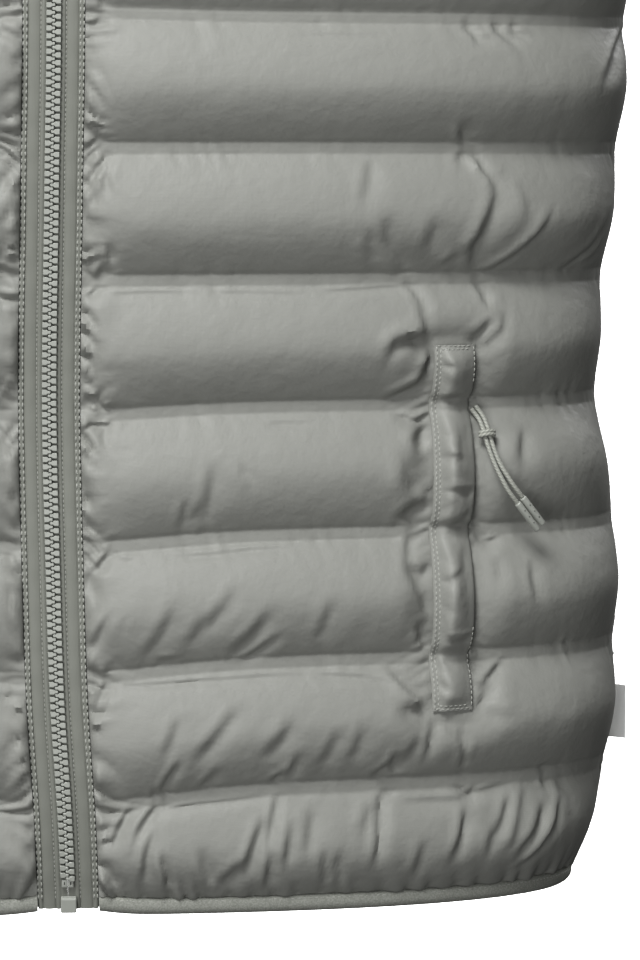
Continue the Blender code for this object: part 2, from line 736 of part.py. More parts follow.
def cord_line(side):
    """Points and outward directions of a pocket's doubled cord, which comes out from under the welt's edge,
    lies over the swell of the panel and hangs more freely below it."""
    route = [(i, *place) for i, place in enumerate(CORD_ROUTE)]
    line, ways, fullest = [], [], 0.0
    for share in np.linspace(0.0, 1.0, CORD_POINTS):
        _, across, height = spline_row(route, share * (len(route) - 1))
        clear = CORD_EXIT_LIFT + (CORD_KNOT_LIFT - CORD_EXIT_LIFT) * smooth_step(share / KNOT_AT)
        base, point = across, Vector((across, 0.0, 0.0))
        for _ in range(CORD_FITS):
            base += across - abs(point.x)
            arc = arc_at(height, base)
            lift = front_lift(height, arc)
            hanging = max(lift, lift + (fullest - lift) * CORD_DRAPE)
            point = raised(side, height, arc, hanging + clear)
        fullest = max(fullest, lift)
        line.append(point)
        ways.append(outward(side, height, arc))
    return line, ways


def make_pocket_pull(side):
    """A pocket zip's pull: a doubled cord, a ring of knot round it and a moulded tip on each end."""
    line, ways = cord_line(side)
    last = CORD_POINTS - 1
    ahead = [(line[min(i + 1, last)] - line[max(i - 1, 0)]).normalized() for i in range(CORD_POINTS)]
    across = [a.cross(w).normalized() * side for a, w in zip(ahead, ways)]
    name = SIDE_NAMES[side]
    for letter, sign in (("a", -1), ("b", 1)):
        strand = []
        for i in range(CORD_POINTS):
            spread = CORD_APART + (TIP_SPREAD - CORD_APART) * smooth_step(2 * i / last - 1)
            strand.append(line[i] + across[i] * sign * spread)
        add_tube(f"pocket_cord_{name}_{letter}", strand, CORD_DIAMETER, "cord")
        start = strand[-1] + ahead[-1] * SEAM_GAP
        rod = [start + ahead[-1] * TIP_LENGTH * share for share, _ in TIP_PROFILE]
        radii = [radius for _, radius in TIP_PROFILE]
        add_tube(f"pocket_tip_{name}_{letter}", rod, TIP_DIAMETER, "moulded", radii=radii)
    at = round(KNOT_AT * last)
    out = across[at].cross(ahead[at]).normalized()
    wide = CORD_APART + CORD_DIAMETER / 2 + SEAM_GAP + KNOT_WIRE
    deep = CORD_DIAMETER / 2 + SEAM_GAP + KNOT_WIRE
    turns = [2 * math.pi * i / KNOT_SIDES for i in range(KNOT_SIDES)]
    ring = [line[at] + across[at] * wide * math.cos(t) + out * deep * math.sin(t) for t in turns]
    add_tube(f"pocket_knot_{name}", ring, 2 * KNOT_WIRE, "cord", closed=True)


def make_side_label():
    """The small blank label that stands out of the left side seam."""
    outer, inner = [], []
    for height in np.linspace(LABEL_LOW, LABEL_HIGH, LABEL_ROWS):
        arc = side_arc(height)
        root = raised(LEFT, height, arc, puff(height, 0.0) + 2 * SEAM_GAP)
        edge = Vector((LABEL_EDGE_X, root.y, root.z))
        half = Vector((0.0, LABEL_THICKNESS / 2, 0.0))
        outer.append([root - half, edge - half])
        inner.append([root + half, edge + half])
    return wall("side_label", outer, inner, list(range(LABEL_ROWS)), "label")


def main():
    for old in list(bpy.data.objects):
        bpy.data.objects.remove(old)
    for name in ("quilted_body_warmer", "helpers"):
        bpy.context.scene.collection.children.link(bpy.data.collections.new(name))
    make_back()
    make_collar()
    make_hem_binding()
    for side in (LEFT, RIGHT):
        make_front(side)
        make_armhole_binding(side)
        make_zip_tape(side)
        make_pocket_welt(side)
        make_pocket_pull(side)
    make_zip_chain()
    make_zip_box()
    make_zip_slider()
    make_zip_pull()
    make_side_label()


main()
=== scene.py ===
"""Quilted body warmer: the finished look over its CAD frame, laid out as a Blender add-on.

Metres, +Z up. The front faces -Y and the wearer's left is +X. Heights are measured up from the lower edge
of the hem, and arcs run round the body from the centre front to the centre back.
"""

import math

import bmesh
import bpy
import numpy as np
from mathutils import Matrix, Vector


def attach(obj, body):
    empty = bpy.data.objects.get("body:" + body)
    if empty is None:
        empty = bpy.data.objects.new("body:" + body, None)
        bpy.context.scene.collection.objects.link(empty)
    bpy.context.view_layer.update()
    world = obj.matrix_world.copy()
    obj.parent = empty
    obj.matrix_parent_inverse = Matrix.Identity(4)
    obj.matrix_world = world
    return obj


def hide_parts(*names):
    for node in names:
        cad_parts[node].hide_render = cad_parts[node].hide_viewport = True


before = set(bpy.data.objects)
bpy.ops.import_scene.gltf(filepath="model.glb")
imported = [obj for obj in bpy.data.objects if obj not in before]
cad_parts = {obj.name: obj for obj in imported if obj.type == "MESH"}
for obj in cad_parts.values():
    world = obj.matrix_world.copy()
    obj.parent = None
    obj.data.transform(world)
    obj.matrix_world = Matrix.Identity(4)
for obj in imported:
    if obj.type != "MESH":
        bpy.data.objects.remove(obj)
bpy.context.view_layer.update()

bl_info = {
    "name": "Quilted body warmer",
    "version": (1, 0, 0),
    "blender": (4, 5, 0),
    "location": "View3D > Sidebar > Garment",
    "description": "Builds a quilted body warmer piece by piece over its CAD frame",
    "category": "Object",
}

LEFT, RIGHT = 1, -1
SIDE_NAMES = {LEFT: "left", RIGHT: "right"}

# The sizes of the CAD source that the finer pieces follow.
BODY_LENGTH = 0.680
SEAM_GAP = 0.0003
WALL = 0.0018
NECK_HALF_WIDTH = 0.080
NECK_FRONT = 0.595
FRONT_TOP = 0.676
BACK_NECK_DROP = 0.014
BACK_DROP_START = 0.600
SECTION_POWER = 2.5
RING_STEPS = 240

# Columns: height, half width, depth of the front, depth of the back, how far the side line lies back.
SECTIONS = (
    (0.000, 0.2165, 0.0930, 0.0950, 0.000),
    (0.020, 0.2259, 0.0975, 0.1000, 0.000),
    (0.045, 0.2334, 0.1010, 0.1040, 0.000),
    (0.095, 0.2369, 0.1030, 0.1060, 0.000),
    (0.146, 0.2363, 0.1025, 0.1040, 0.000),
    (0.190, 0.2293, 0.1020, 0.1000, 0.000),
    (0.250, 0.2310, 0.1065, 0.1015, 0.000),
    (0.304, 0.2370, 0.1110, 0.1060, 0.000),
    (0.358, 0.2401, 0.1140, 0.1120, 0.000),
    (0.410, 0.2400, 0.1130, 0.1150, 0.001),
    (0.462, 0.2347, 0.1090, 0.1160, 0.002),
    (0.514, 0.2255, 0.1020, 0.1150, 0.004),
    (0.566, 0.2140, 0.0915, 0.1110, 0.006),
    (0.600, 0.2050, 0.0810, 0.1060, 0.008),
    (0.628, 0.1930, 0.0690, 0.0990, 0.009),
    (0.645, 0.1640, 0.0570, 0.0930, 0.010),
    (0.660, 0.1290, 0.0450, 0.0850, 0.010),
    (0.672, 0.0990, 0.0350, 0.0760, 0.010),
    (0.680, 0.0800, 0.0280, 0.0680, 0.010),
)

# Sideways wander of the zip line. Columns: height, shift.
SWAY = (
    (0.000, 0.0064),
    (0.042, 0.0048),
    (0.084, 0.0020),
    (0.140, 0.0003),
    (0.200, -0.0008),
    (0.280, 0.0005),
    (0.363, 0.0019),
    (0.480, 0.0005),
    (0.600, 0.0000),
    (0.680, 0.0000),
)
SWAY_REACH = 0.060

# How the cloth hangs off level. Columns: height, rise at the zip, rise elsewhere, reach from the zip.
HANG = (
    (0.0000, -0.0024, -0.0052, 0.018),
    (0.0067, -0.0028, -0.0052, 0.020),
    (0.0200, -0.0036, -0.0030, 0.032),
    (0.0445, -0.0050, 0.0020, 0.055),
    (0.0945, -0.0028, 0.0036, 0.055),
    (0.1460, -0.0020, 0.0032, 0.055),
    (0.1980, -0.0010, 0.0026, 0.055),
    (0.2510, 0.0000, 0.0004, 0.055),
    (0.3035, 0.0000, 0.0002, 0.055),
    (0.3575, -0.0006, -0.0023, 0.055),
    (0.4100, 0.0000, -0.0010, 0.055),
    (0.4620, 0.0000, 0.0000, 0.055),
    (0.6800, 0.0000, 0.0000, 0.055),
)

BANDS = (
    0.0445, 0.0945, 0.1460, 0.1980, 0.2510, 0.3035, 0.3575, 0.4100, 0.4620, 0.5140, 0.5660, 0.6180, 0.6520,
)
BAND_HEIGHT = 0.0050
PUFF_HEIGHT = 0.0120
PUFF_BAFFLE = 0.047
PUFF_LOW_POWER = 0.50
PUFF_HIGH_POWER = 0.80
EDGE_PUFF = 0.25
EDGE_ROUND = 0.032
SIDE_PUFF = 0.08
SIDE_ROUND = 0.080
BELLY = 0.50
ARMHOLE_LOW = 0.4075
SHOULDER_POINT = 0.6240
ARMHOLE_MIDDLE, ARMHOLE_HALF = (ARMHOLE_LOW + SHOULDER_POINT) / 2, (SHOULDER_POINT - ARMHOLE_LOW) / 2
ARMHOLE_FRONT = 0.060
ARMHOLE_BACK = 0.050
BINDING_WIDTH = 0.008
HEM_TOP = 0.0067
HEM_INSIDE = 0.0028
PLACKET_HALF = 0.0124
TAPE_LOW = 0.0012
TAPE_TOP_RISE = 0.985
BOX_TOP = 0.0073
SLIDER_RISE = 0.80
SLIDER_TALL = 0.0115
COLLAR_HEIGHT = 0.066
COLLAR_LEAN = 0.06
COLLAR_INSET = 0.0012
COLLAR_WALL = 0.0022
COLLAR_PUFF = 0.007
COLLAR_BAND = 0.52
COLLAR_EDGE = 0.020
COLLAR_END_PUFF = 0.3
COLLAR_FOLD, COLLAR_FOLD_WAVE, COLLAR_FOLD_REACH = 0.0007, 0.010, 0.12
COLLAR_ROWS = 13
COLLAR_COLUMN = 0.007
NECK_STEPS, NECK_TURN, BACK_NECK_STEPS = 26, 0.93, 45
WELT_INNER, WELT_OUTER = 0.1520, 0.1682
WELT_LOW, WELT_HIGH = 0.0730, 0.2241
PINCH = 0.45
PINCH_REACH = 0.016
CORD_DIAMETER = 0.0018
CORD_EXIT_LIFT = 0.0017
CORD_KNOT_LIFT = 0.0031
CORD_APART = 0.0011
CORD_DRAPE = 0.5
# Columns: distance from the centre plane, height.
CORD_ROUTE = (
    (0.1707, 0.1963),
    (0.1738, 0.1918),
    (0.1756, 0.1865),
    (0.1767, 0.1820),
    (0.1779, 0.1780),
    (0.1795, 0.1735),
    (0.1814, 0.1694),
    (0.1834, 0.1657),
    (0.1856, 0.1620),
    (0.1889, 0.1577),
)
CORD_POINTS = 17
CORD_FITS = 6
KNOT_AT = 0.25
KNOT_WIRE = 0.0008
KNOT_TURNS = (-0.6, 3.1)
KNOT_POINTS = 70
KNOT_CLIMB = 0.0012
KNOT_SKEW = 0.3
TIP_LENGTH = 0.0150
TIP_DIAMETER = 0.0028
TIP_SPREAD = 0.0017
# A tip's outline. Columns: share of its length, share of its radius. Its crimp marks follow.
TIP_OUTLINE = ((0.0, 0.80), (0.015, 0.95), (0.05, 1.0), (0.95, 1.0), (0.985, 0.93), (1.0, 0.72))
TIP_MARKS = (0.28, 0.50, 0.72)
TIP_MARK_RADIUS = 0.00032
TIP_MARK_SUNK = 0.0001
LABEL_LOW, LABEL_HIGH = 0.0505, 0.0720
LABEL_EDGE_X = 0.2400
LABEL_THICKNESS = 0.0010
LABEL_ROWS = 23
LABEL_COLUMNS = 7
LABEL_REACH = 0.0032
LABEL_CURL = 0.0060

# How the filling hangs: the power of its slopes, and the share and power of its tight turn over a band.
SLOPE_POWER = 1.6
TURN_SHARE = 0.06
TURN_POWER = 8
LEAST_PROFILE = 0.02
# Rows of a panel are a grid step apart up to a height and wider above it, and crowd towards the bands.
FINE_BELOW = 0.400
COARSE_ROWS = 2.6
FEWEST_ROWS = 4
ROW_CROWDING = 0.6
COLUMN_CROWDING = 0.25
RIGHT_STEP = 1.2
BACK_STEP = 1.9
KEPT_INSIDE = 8
# The cloth's slack, all over, at the upright edges and at the hem, with the reach of the last two.
SLACK = 0.3
EDGE_SLACK, EDGE_SLACK_REACH = 0.5, 0.020
HEM_SLACK, HEM_SLACK_REACH = 0.4, 0.030
# Small folds that the sewing gathers. Columns: half height of the sewn line, reach, rise, pitch.
HEM_GATHERS = (0.0, 0.0060, 0.0042, 0.0092)
BAND_GATHERS = (BAND_HEIGHT / 2, 0.0040, 0.0013, 0.0085)
BAND_SLANT = 0.3
BAND_INSIDE = 0.55
BAND_MEAN = 0.55
PATCH_WAVE, PATCH_BASE, PATCH_SWING = 0.050, 0.35, 0.9
# The same at a panel's upright edges, the zip's first.
EDGE_GATHERS = (0.0080, 0.0046)
EDGE_PITCH = 0.0078
EDGE_REACH, EDGE_REACH_SWING, EDGE_REACH_WAVE = 0.0062, 0.0026, 0.018
EDGE_SLANT, EDGE_SLANT_WAVE = 1.5, 0.045
EDGE_POWER = 1.3
EDGE_ROOT, EDGE_ROOT_REACH = 0.35, 0.0022
# The same beside a welt.
BESIDE_RISE, BESIDE_PITCH, BESIDE_SLANT = 0.0034, 0.0048, 0.5
BESIDE_REACH, BESIDE_ROOT = 0.0050, 0.0010
# A listed fold is steep on its flank away from the light and easy on the other.
# Each pair is for the steep and the easy flank.
FOLD_WIDTHS = (0.75, 1.6)
FOLD_LIPS = (0.45, 0.15)
LIP_AWAY, LIP_WIDTH = 2.0, 1.2
FOLD_POWER = 1.25
FOLD_ENDS = 0.25
FOLD_REACH, FOLD_MARGIN = 5, 0.004
FOLD_UNIT = 1e4
LIGHT_ACROSS, LIGHT_UP = -0.8, 0.6
SEWN_FLAT = 0.65
DEEPEST = 0.0008

# The hem binding's section. Columns: height, lift.
HEM_SECTION = (
    (0.0000, 0.0002), (0.0004, 0.0010), (0.0016, 0.0018), (0.0034, 0.0020), (0.0050, 0.0016),
    (0.0060, 0.0010), (0.0064, 0.0004),
)
HEM_COLUMNS = 90
HEM_WAVE, HEM_WAVE_LENGTH, HEM_PLAIN = 0.00025, 0.008, 0.001
# An armhole binding's section. Columns: share of its width, lift, depth.
ARMHOLE_SECTION = (
    (0.0, 0.0004, 0.0022), (0.12, 0.0012, 0.0027), (0.35, 0.0018, 0.0030), (0.65, 0.0018, 0.0030),
    (0.88, 0.0012, 0.0027), (1.0, 0.0002, 0.0020),
)
ARMHOLE_STEPS = 160
# Upper face of a zip's tape from the teeth out, with its edge that runs in under the panel, and then its
# lower face. Columns: distance from the zip's middle, lift.
TAPE_SECTION = (
    (0.00002, 0.0), (0.0014, 0.0), (0.0027, 0.0), (0.0031, 0.0003), (0.0036, 0.0006), (0.0042, 0.0006),
    (0.0047, 0.0003), (0.0050, -0.0003), (0.0053, 0.0), (0.0058, 0.0003), (0.0075, 0.0004), (0.0090, 0.0003),
    (0.0097, 0.0), (0.0100, -0.0003), (0.0103, 0.0001), (0.0109, 0.0005), (0.0116, 0.0004), (0.0121, -0.0002),
    (0.0122, -0.0021), (0.0150, -0.0022),
)
TAPE_UNDER = ((0.0100, -0.0012), (0.0103, -0.0014), (0.0109, -0.0018), (0.0116, -0.0024), (0.0121, -0.0030))
TAPE_STEP = 0.0020
TAPE_WAVE, TAPE_WAVE_LENGTH = 0.00016, 0.014
TAPE_SOFT_FROM, TAPE_SOFT_TO = 0.005, 0.0115
# Rows of stitches on each tape. Columns: distance from the zip's middle, lift, pitch, length, thickness.
TAPE_STITCHES = (
    (0.0050, 0.0000, 0.0019, 0.0014, 0.00042),
    (0.0105, 0.0005, 0.0027, 0.0020, 0.00075),
    (0.0119, 0.0003, 0.0027, 0.0020, 0.00075),
)
# Stitches of the welts and the hem. Columns: pitch, length, thickness.
WELT_STITCH = (0.0022, 0.0017, 0.0006)
HEM_STITCH = (0.0024, 0.0014, 0.0005)
HEM_STITCH_DROP, HEM_STITCH_INSET, HEM_STITCH_LIFT, HEM_STITCH_POINTS = 0.0010, 0.001, 0.0011, 300
WELT_STEP = 0.00175
WELT_WAVE, WELT_PITCH, WELT_SLANT = 0.0016, 0.0085, 0.6
WELT_INSETS = (0.0008, 0.0021)
FREE_EDGE_SHIFT, FREE_EDGE_TOP, FREE_EDGE_BOTTOM = 0.0004, 0.018, 0.034
STITCH_LIFT = 0.0001
ZIP_STEPS = 300
ZIP_COLLAR_FROM, ZIP_COLLAR_STEPS = 0.06, 30
ZIP_AHEAD = 0.004
TEETH_LOW = 0.0112
TEETH_END_GAP = 0.0012
TOOTH_PLACE = (0.00195, 0.0, 0.0013)
TOOTH_SIZE = (0.0019, 0.0021, 0.0024)
# A tooth's neck and head. Columns: step away from its block, width as a share of the step before.
TOOTH_HEAD = ((0.0004, 0.50), (0.0004, 1.05), (0.0005, 1.20), (0.0003, 0.55))
TOOTH_BEVEL = 0.00018
PIN_SIZE = (0.0023, 0.0018, 0.0033)
PIN_RISE, PIN_ACROSS, PIN_LIFT = 0.0017, 0.00125, 0.0012
PIN_BEVEL, PIN_RIM, PIN_HOLE = 0.0003, 0.00062, 0.0004
HARD_EDGE = 35.0

# Columns: name, place, target, size, power.
GARMENT_MIDDLE = (0.10, -0.05, -0.45)
LIGHTS = (
    ("key", (-0.55, -1.75, 1.55), GARMENT_MIDDLE, 1.0, 86.0),
    ("fill", (-0.65, -2.05, -0.65), GARMENT_MIDDLE, 0.9, 19.0),
    ("side", (0.95, -1.85, 0.10), GARMENT_MIDDLE, 0.8, 2.5),
    ("rear_left", (-1.5, 2.1, 1.3), GARMENT_MIDDLE, 1.2, 45.0),
    ("rear_right", (1.3, 2.3, 1.2), GARMENT_MIDDLE, 1.2, 45.0),
    ("back_left", (-1.6, 1.9, 0.9), (0.2, 3.4, -0.5), 1.2, 150.0),
    ("back_right", (1.8, 1.9, 0.9), (0.6, 3.4, -0.5), 1.2, 150.0),
)
WORLD_LIGHT = 0.08
FLOOR_PLACE = (0.0, -5.5, -1.05)
FLOOR_SIZE = (26.0, 18.0, 1.0)
BACKDROP_HEIGHT = 1.15
FRAME_WIDTH_MM = 36.0
PICTURE_SIZE = (640, 960)

# Columns: name, colour, roughness, further sockets, flecks, bumps. Flecks are a dark and a pale colour and
# where they end and start. A bump is a pattern, its size, detail and strength, and its depth, in metres.
MATERIALS = {
    # Satin-faced nylon taffeta, dyed grey-green: a fine weave, light crinkles and a soft shine.
    "shell": (
        "shell_nylon", "#878883", 0.50, {"Specular IOR Level": 0.25}, None,
        (
            ("noise", 0.014, 3.0, 0.4, 0.0022),
            ("noise", 0.0030, 2.0, 0.35, 0.0004),
            ("weave", 0.0005, 0, 0.3, 0.00005),
        ),
    ),
    # Heathered elastane binding: matt, with fine pale flecks.
    "binding": (
        "binding_elastane", "#8A8C85", 0.85, {"Specular IOR Level": 0.2}, ("#7D7F78", "#93958E", 0.36, 0.66),
        (("noise", 0.0007, 3.0, 0.5, 0.00015),),
    ),
    # Woven polyester tape: matt, with fine ribs along it.
    "tape": (
        "tape_polyester", "#767871", 0.62, {"Specular IOR Level": 0.3}, None,
        (("noise", 0.006, 3.0, 0.3, 0.0004), ("X", 0.0006, 0, 0.4, 0.00006)),
    ),
    # Moulded acetal: a hard pale grey plastic with a slight gloss.
    "moulded": (
        "moulded_acetal", "#9DA099", 0.35, {"Specular IOR Level": 0.5}, None,
        (("noise", 0.0008, 2.0, 0.15, 0.00003),),
    ),
    # Braided polyester cord: strands on the slant.
    "cord": (
        "cord_polyester", "#9C9E96", 0.6, {"Sheen Weight": 0.15}, ("#83857D", "#A2A49B", 0.1, 0.7),
        (("DIAGONAL", 0.0008, 0, 0.4, 0.00012),),
    ),
    # Polyester sewing thread with a soft shine.
    "thread": ("thread_polyester", "#999B94", 0.45, {"Sheen Weight": 0.2}, None, ()),
    # Pale woven satin ribbon, left blank.
    "label": (
        "label_satin", "#F0F1EE", 0.5,
        {"Subsurface Weight": 0.9, "Subsurface Radius": (1.0, 1.0, 1.0), "Subsurface Scale": 0.002}, None,
        (("Y", 0.0005, 0, 0.4, 0.00005),),
    ),
    # Painted shade: a dark colour that stands in for the shade inside small moulded holes and crimp marks.
    "painted_shade": ("moulded_painted_shade", "#4A4C48", 0.6, {}, None, ()),
    # Pale paper of the floor and backdrop.
    "floor": ("floor_paper", "#F6F6F5", 0.9, {"Specular IOR Level": 0.1}, None, ()),
}
MADE = {}

# Main creases of the left front, listed in tenths of a millimetre: rise of the fold (a trough is
# below 0), its half width, then the distance from the centre plane and the height of each place on it.
CREASES = (
    (-21, 14, 1673, 3573, 1665, 3509, 1695, 3478, 1732, 3466),
    (-20, 14, 1776, 3570, 1785, 3503, 1868, 3432), (-17, 14, 1863, 3572, 1855, 3504, 1911, 3477),
    (-19, 19, 2384, 3521, 2282, 3424, 2187, 3312), (-7, 9, 945, 3484, 1145, 3481, 1309, 3478),
    (-23, 15, 202, 3637, 214, 3575, 190, 3521, 135, 3497), (-24, 16, 204, 3068, 173, 3096, 130, 3115),
    (-20, 14, 142, 3096, 220, 3009, 212, 2978, 180, 2962), (-21, 14, 133, 2986, 184, 2911),
    (-12, 12, 188, 2955, 243, 2856), (-26, 17, 129, 2919, 172, 2845), (-20, 15, 129, 2809, 152, 2747),
    (-28, 19, 1630, 3140, 1656, 3064, 1660, 3024, 1631, 2977),
    (-21, 14, 1702, 3064, 1698, 3008, 1723, 2952, 1762, 2896),
    (11, 14, 1681, 3028, 1707, 2956, 1749, 2908),
    (-22, 27, 1774, 2916, 1758, 2844, 1716, 2748, 1683, 2664, 1688, 2600, 1714, 2536),
    (17, 14, 1960, 2814, 1908, 2718, 1840, 2630, 1777, 2575, 1718, 2536), (10, 21, 1696, 2732, 1633, 2649),
    (-19, 28, 1312, 2775, 1337, 2667, 1399, 2579, 1424, 2527), (9, 17, 1600, 2633, 1538, 2578),
    (-13, 28, 1252, 2720, 1277, 2584), (-12, 30, 1513, 2770, 1489, 2630), (10, 19, 1842, 2892, 1856, 2795),
    (-14, 23, 1275, 2989, 1235, 2847), (-17, 19, 2246, 2765, 2188, 2636, 2096, 2548),
    (11, 17, 2257, 2732, 2208, 2619, 2151, 2571), (-19, 14, 227, 2664, 242, 2589),
    (-26, 17, 207, 2573, 195, 2502, 171, 2463, 128, 2439), (-21, 14, 124, 2562, 147, 2502, 135, 2471),
    (-7, 9, 218, 2455, 392, 2462, 581, 2458), (-7, 9, 629, 2461, 828, 2460, 1011, 2455),
    (-9, 9, 1076, 2463, 1269, 2473, 1408, 2479), (-22, 15, 127, 2384, 159, 2329),
    (-30, 20, 123, 2313, 182, 2241), (-30, 20, 123, 2222, 174, 2154), (-20, 14, 122, 2143, 170, 2071),
    (-20, 14, 1420, 2539, 1432, 2487, 1465, 2443, 1507, 2370),
    (-21, 14, 1457, 2427, 1482, 2334, 1507, 2278), (-21, 14, 1714, 2536, 1722, 2475, 1761, 2378),
    (21, 17, 1799, 2413, 1766, 2329, 1720, 2274, 1674, 2247),
    (-29, 21, 1753, 2354, 1711, 2298, 1669, 2267), (-14, 15, 1790, 2426, 1774, 2353),
    (-41, 28, 1499, 2266, 1421, 2283, 1360, 2268, 1335, 2232),
    (15, 19, 1491, 2218, 1458, 2142, 1438, 2090), (-22, 19, 1520, 2222, 1492, 2118),
    (-23, 15, 126, 2063, 169, 2039, 201, 1999, 240, 2003),
    (-20, 14, 118, 1908, 157, 1936, 216, 1932, 208, 1892), (-22, 15, 114, 1892, 141, 1860),
    (-32, 23, 1512, 2109, 1475, 2086, 1414, 2055, 1353, 2024),
    (-20, 14, 1386, 1967, 1460, 1933, 1525, 1960), (-35, 30, 1509, 1928, 1468, 1869, 1485, 1816),
    (-19, 38, 1407, 1797, 1415, 1717, 1461, 1651), (-29, 23, 1511, 1601, 1441, 1587, 1392, 1547),
    (10, 15, 1453, 1631, 1498, 1609), (-7, 9, 860, 1939, 1045, 1936),
    (-13, 28, 641, 1785, 633, 1693, 609, 1541), (-14, 19, 533, 1634, 517, 1522),
    (-12, 20, 597, 1626, 557, 1554), (10, 21, 1846, 1894, 1821, 1793), (-17, 19, 1897, 1896, 1864, 1767),
    (-26, 17, 117, 1697, 152, 1637), (-26, 17, 117, 1661, 160, 1597), (-23, 17, 116, 1589, 156, 1509),
    (-14, 14, 748, 1768, 796, 1743), (8, 14, 732, 1760, 780, 1720),
    (-23, 15, 239, 1476, 231, 1421, 179, 1361, 135, 1334), (-20, 14, 116, 1398, 147, 1341),
    (-26, 19, 127, 1302, 186, 1257), (-7, 9, 258, 1397, 322, 1392),
    (-9, 9, 457, 1407, 617, 1413, 793, 1431, 949, 1436),
    (-22, 17, 1433, 1563, 1458, 1517, 1433, 1433, 1417, 1361),
    (-28, 19, 1421, 1361, 1479, 1323, 1508, 1370),
    (-17, 17, 1425, 1353, 1450, 1279, 1495, 1197, 1525, 1155),
    (-24, 16, 1695, 1554, 1729, 1467, 1763, 1441), (-17, 14, 1708, 1452, 1755, 1433, 1814, 1455),
    (-17, 15, 1918, 1356, 1914, 1282, 1928, 1208), (-12, 20, 1780, 1371, 1789, 1289),
    (-14, 28, 489, 1219, 428, 1091, 372, 1012), (-20, 25, 861, 1189, 792, 1094, 716, 1015),
    (-21, 14, 897, 1092, 824, 1029, 748, 974), (-13, 28, 612, 1181, 548, 1062),
    (-14, 28, 732, 1280, 608, 1121), (-13, 25, 1111, 1232, 1062, 1072), (-14, 14, 420, 991, 492, 998),
    (-23, 19, 1463, 1125, 1487, 1059, 1521, 1013), (-24, 16, 225, 973, 217, 889, 177, 821, 141, 798),
    (-17, 14, 121, 870, 157, 845, 185, 869), (11, 14, 229, 877, 197, 821, 161, 789),
    (-10, 9, 241, 885, 564, 905, 844, 920, 1050, 924), (-12, 10, 1050, 924, 1200, 915, 1356, 890),
    (-23, 15, 1352, 943, 1409, 884, 1480, 816, 1530, 769), (11, 15, 1339, 919, 1405, 852, 1480, 788),
    (-28, 23, 1381, 792, 1451, 789, 1525, 761), (-23, 15, 1825, 944, 1761, 887, 1723, 840),
    (-21, 14, 1791, 873, 1740, 819, 1693, 773), (-14, 14, 1706, 768, 1778, 751, 1851, 746),
    (-17, 14, 1697, 1009, 1731, 983, 1701, 952), (-19, 18, 1538, 736, 1513, 680, 1497, 579),
    (-17, 14, 1563, 731, 1622, 650), (-23, 15, 1630, 703, 1647, 604, 1660, 521),
    (11, 17, 1672, 643, 1677, 537), (-23, 15, 1373, 610, 1344, 550, 1295, 511),
    (-21, 14, 1364, 594, 1373, 512), (-16, 24, 1467, 670, 1426, 603, 1377, 524),
    (-20, 25, 740, 798, 639, 687, 575, 611), (-16, 25, 507, 761, 447, 634), (-14, 17, 663, 558, 595, 478),
    (-19, 30, 957, 753, 908, 681, 840, 610), (-21, 14, 977, 611, 957, 551, 941, 495),
    (-21, 14, 928, 535, 880, 496), (-21, 14, 503, 596, 459, 525, 431, 457),
    (-14, 25, 1131, 707, 1078, 568), (-14, 25, 1241, 736, 1192, 584),
    (-21, 14, 315, 394, 271, 330, 234, 254), (-26, 17, 419, 400, 354, 321, 330, 281),
    (-20, 19, 410, 320, 374, 232, 366, 103), (-23, 15, 426, 227, 450, 154, 466, 61),
    (-20, 14, 403, 469, 415, 401), (-20, 14, 447, 469, 450, 392), (-10, 9, 426, 384, 563, 402, 828, 425),
    (-21, 14, 904, 431, 876, 335, 856, 246), (-28, 19, 844, 344, 795, 240, 771, 143),
    (-23, 15, 864, 226, 859, 76), (-22, 23, 771, 192, 674, 89), (-20, 23, 961, 324, 932, 179),
    (-20, 27, 1042, 378, 1013, 217), (-19, 17, 1074, 215, 1095, 76), (-19, 17, 1131, 213, 1152, 82),
    (-20, 14, 1303, 511, 1365, 415), (-24, 16, 1327, 441, 1307, 320, 1291, 166),
    (-17, 28, 1295, 394, 1246, 290), (-14, 14, 1393, 393, 1639, 388, 1741, 414, 1870, 432),
    (-28, 19, 1669, 357, 1648, 277, 1606, 173), (18, 23, 1900, 430, 1861, 326, 1810, 211),
    (-23, 19, 1861, 400, 1818, 313, 1771, 235), (25, 17, 2051, 373, 2006, 270, 1953, 202, 1888, 126),
    (-29, 21, 1997, 346, 1958, 259, 1879, 168), (-13, 19, 1762, 293, 1754, 175),
    (-14, 23, 2073, 432, 2134, 320), (-19, 14, 1648, 440, 1690, 409, 1724, 440),
    (-20, 14, 2010, 501, 2024, 409), (-17, 19, 186, 170, 258, 80), (-19, 23, 586, 236, 634, 82),
    (-17, 21, 1481, 246, 1456, 92),
)
# The welts' face: shares of its width, the rise of its crown there, and the swell of its filling.
WELT_SHARES = (0.0, 0.03, 0.08, 0.13, 0.18, 0.25, 0.35, 0.47, 0.60, 0.72, 0.82, 0.90, 0.96, 1.0)
WELT_CROWN = (
    0.0004, 0.0011, 0.0015, 0.0015, 0.0026, 0.0040, 0.0044, 0.0041, 0.0036, 0.0029, 0.0022, 0.0017, 0.0012,
    0.0007,
)
WELT_FILL = 0.0034
# Share of the collar's height that is tucked in below the neckline.
COLLAR_TUCK = 0.05
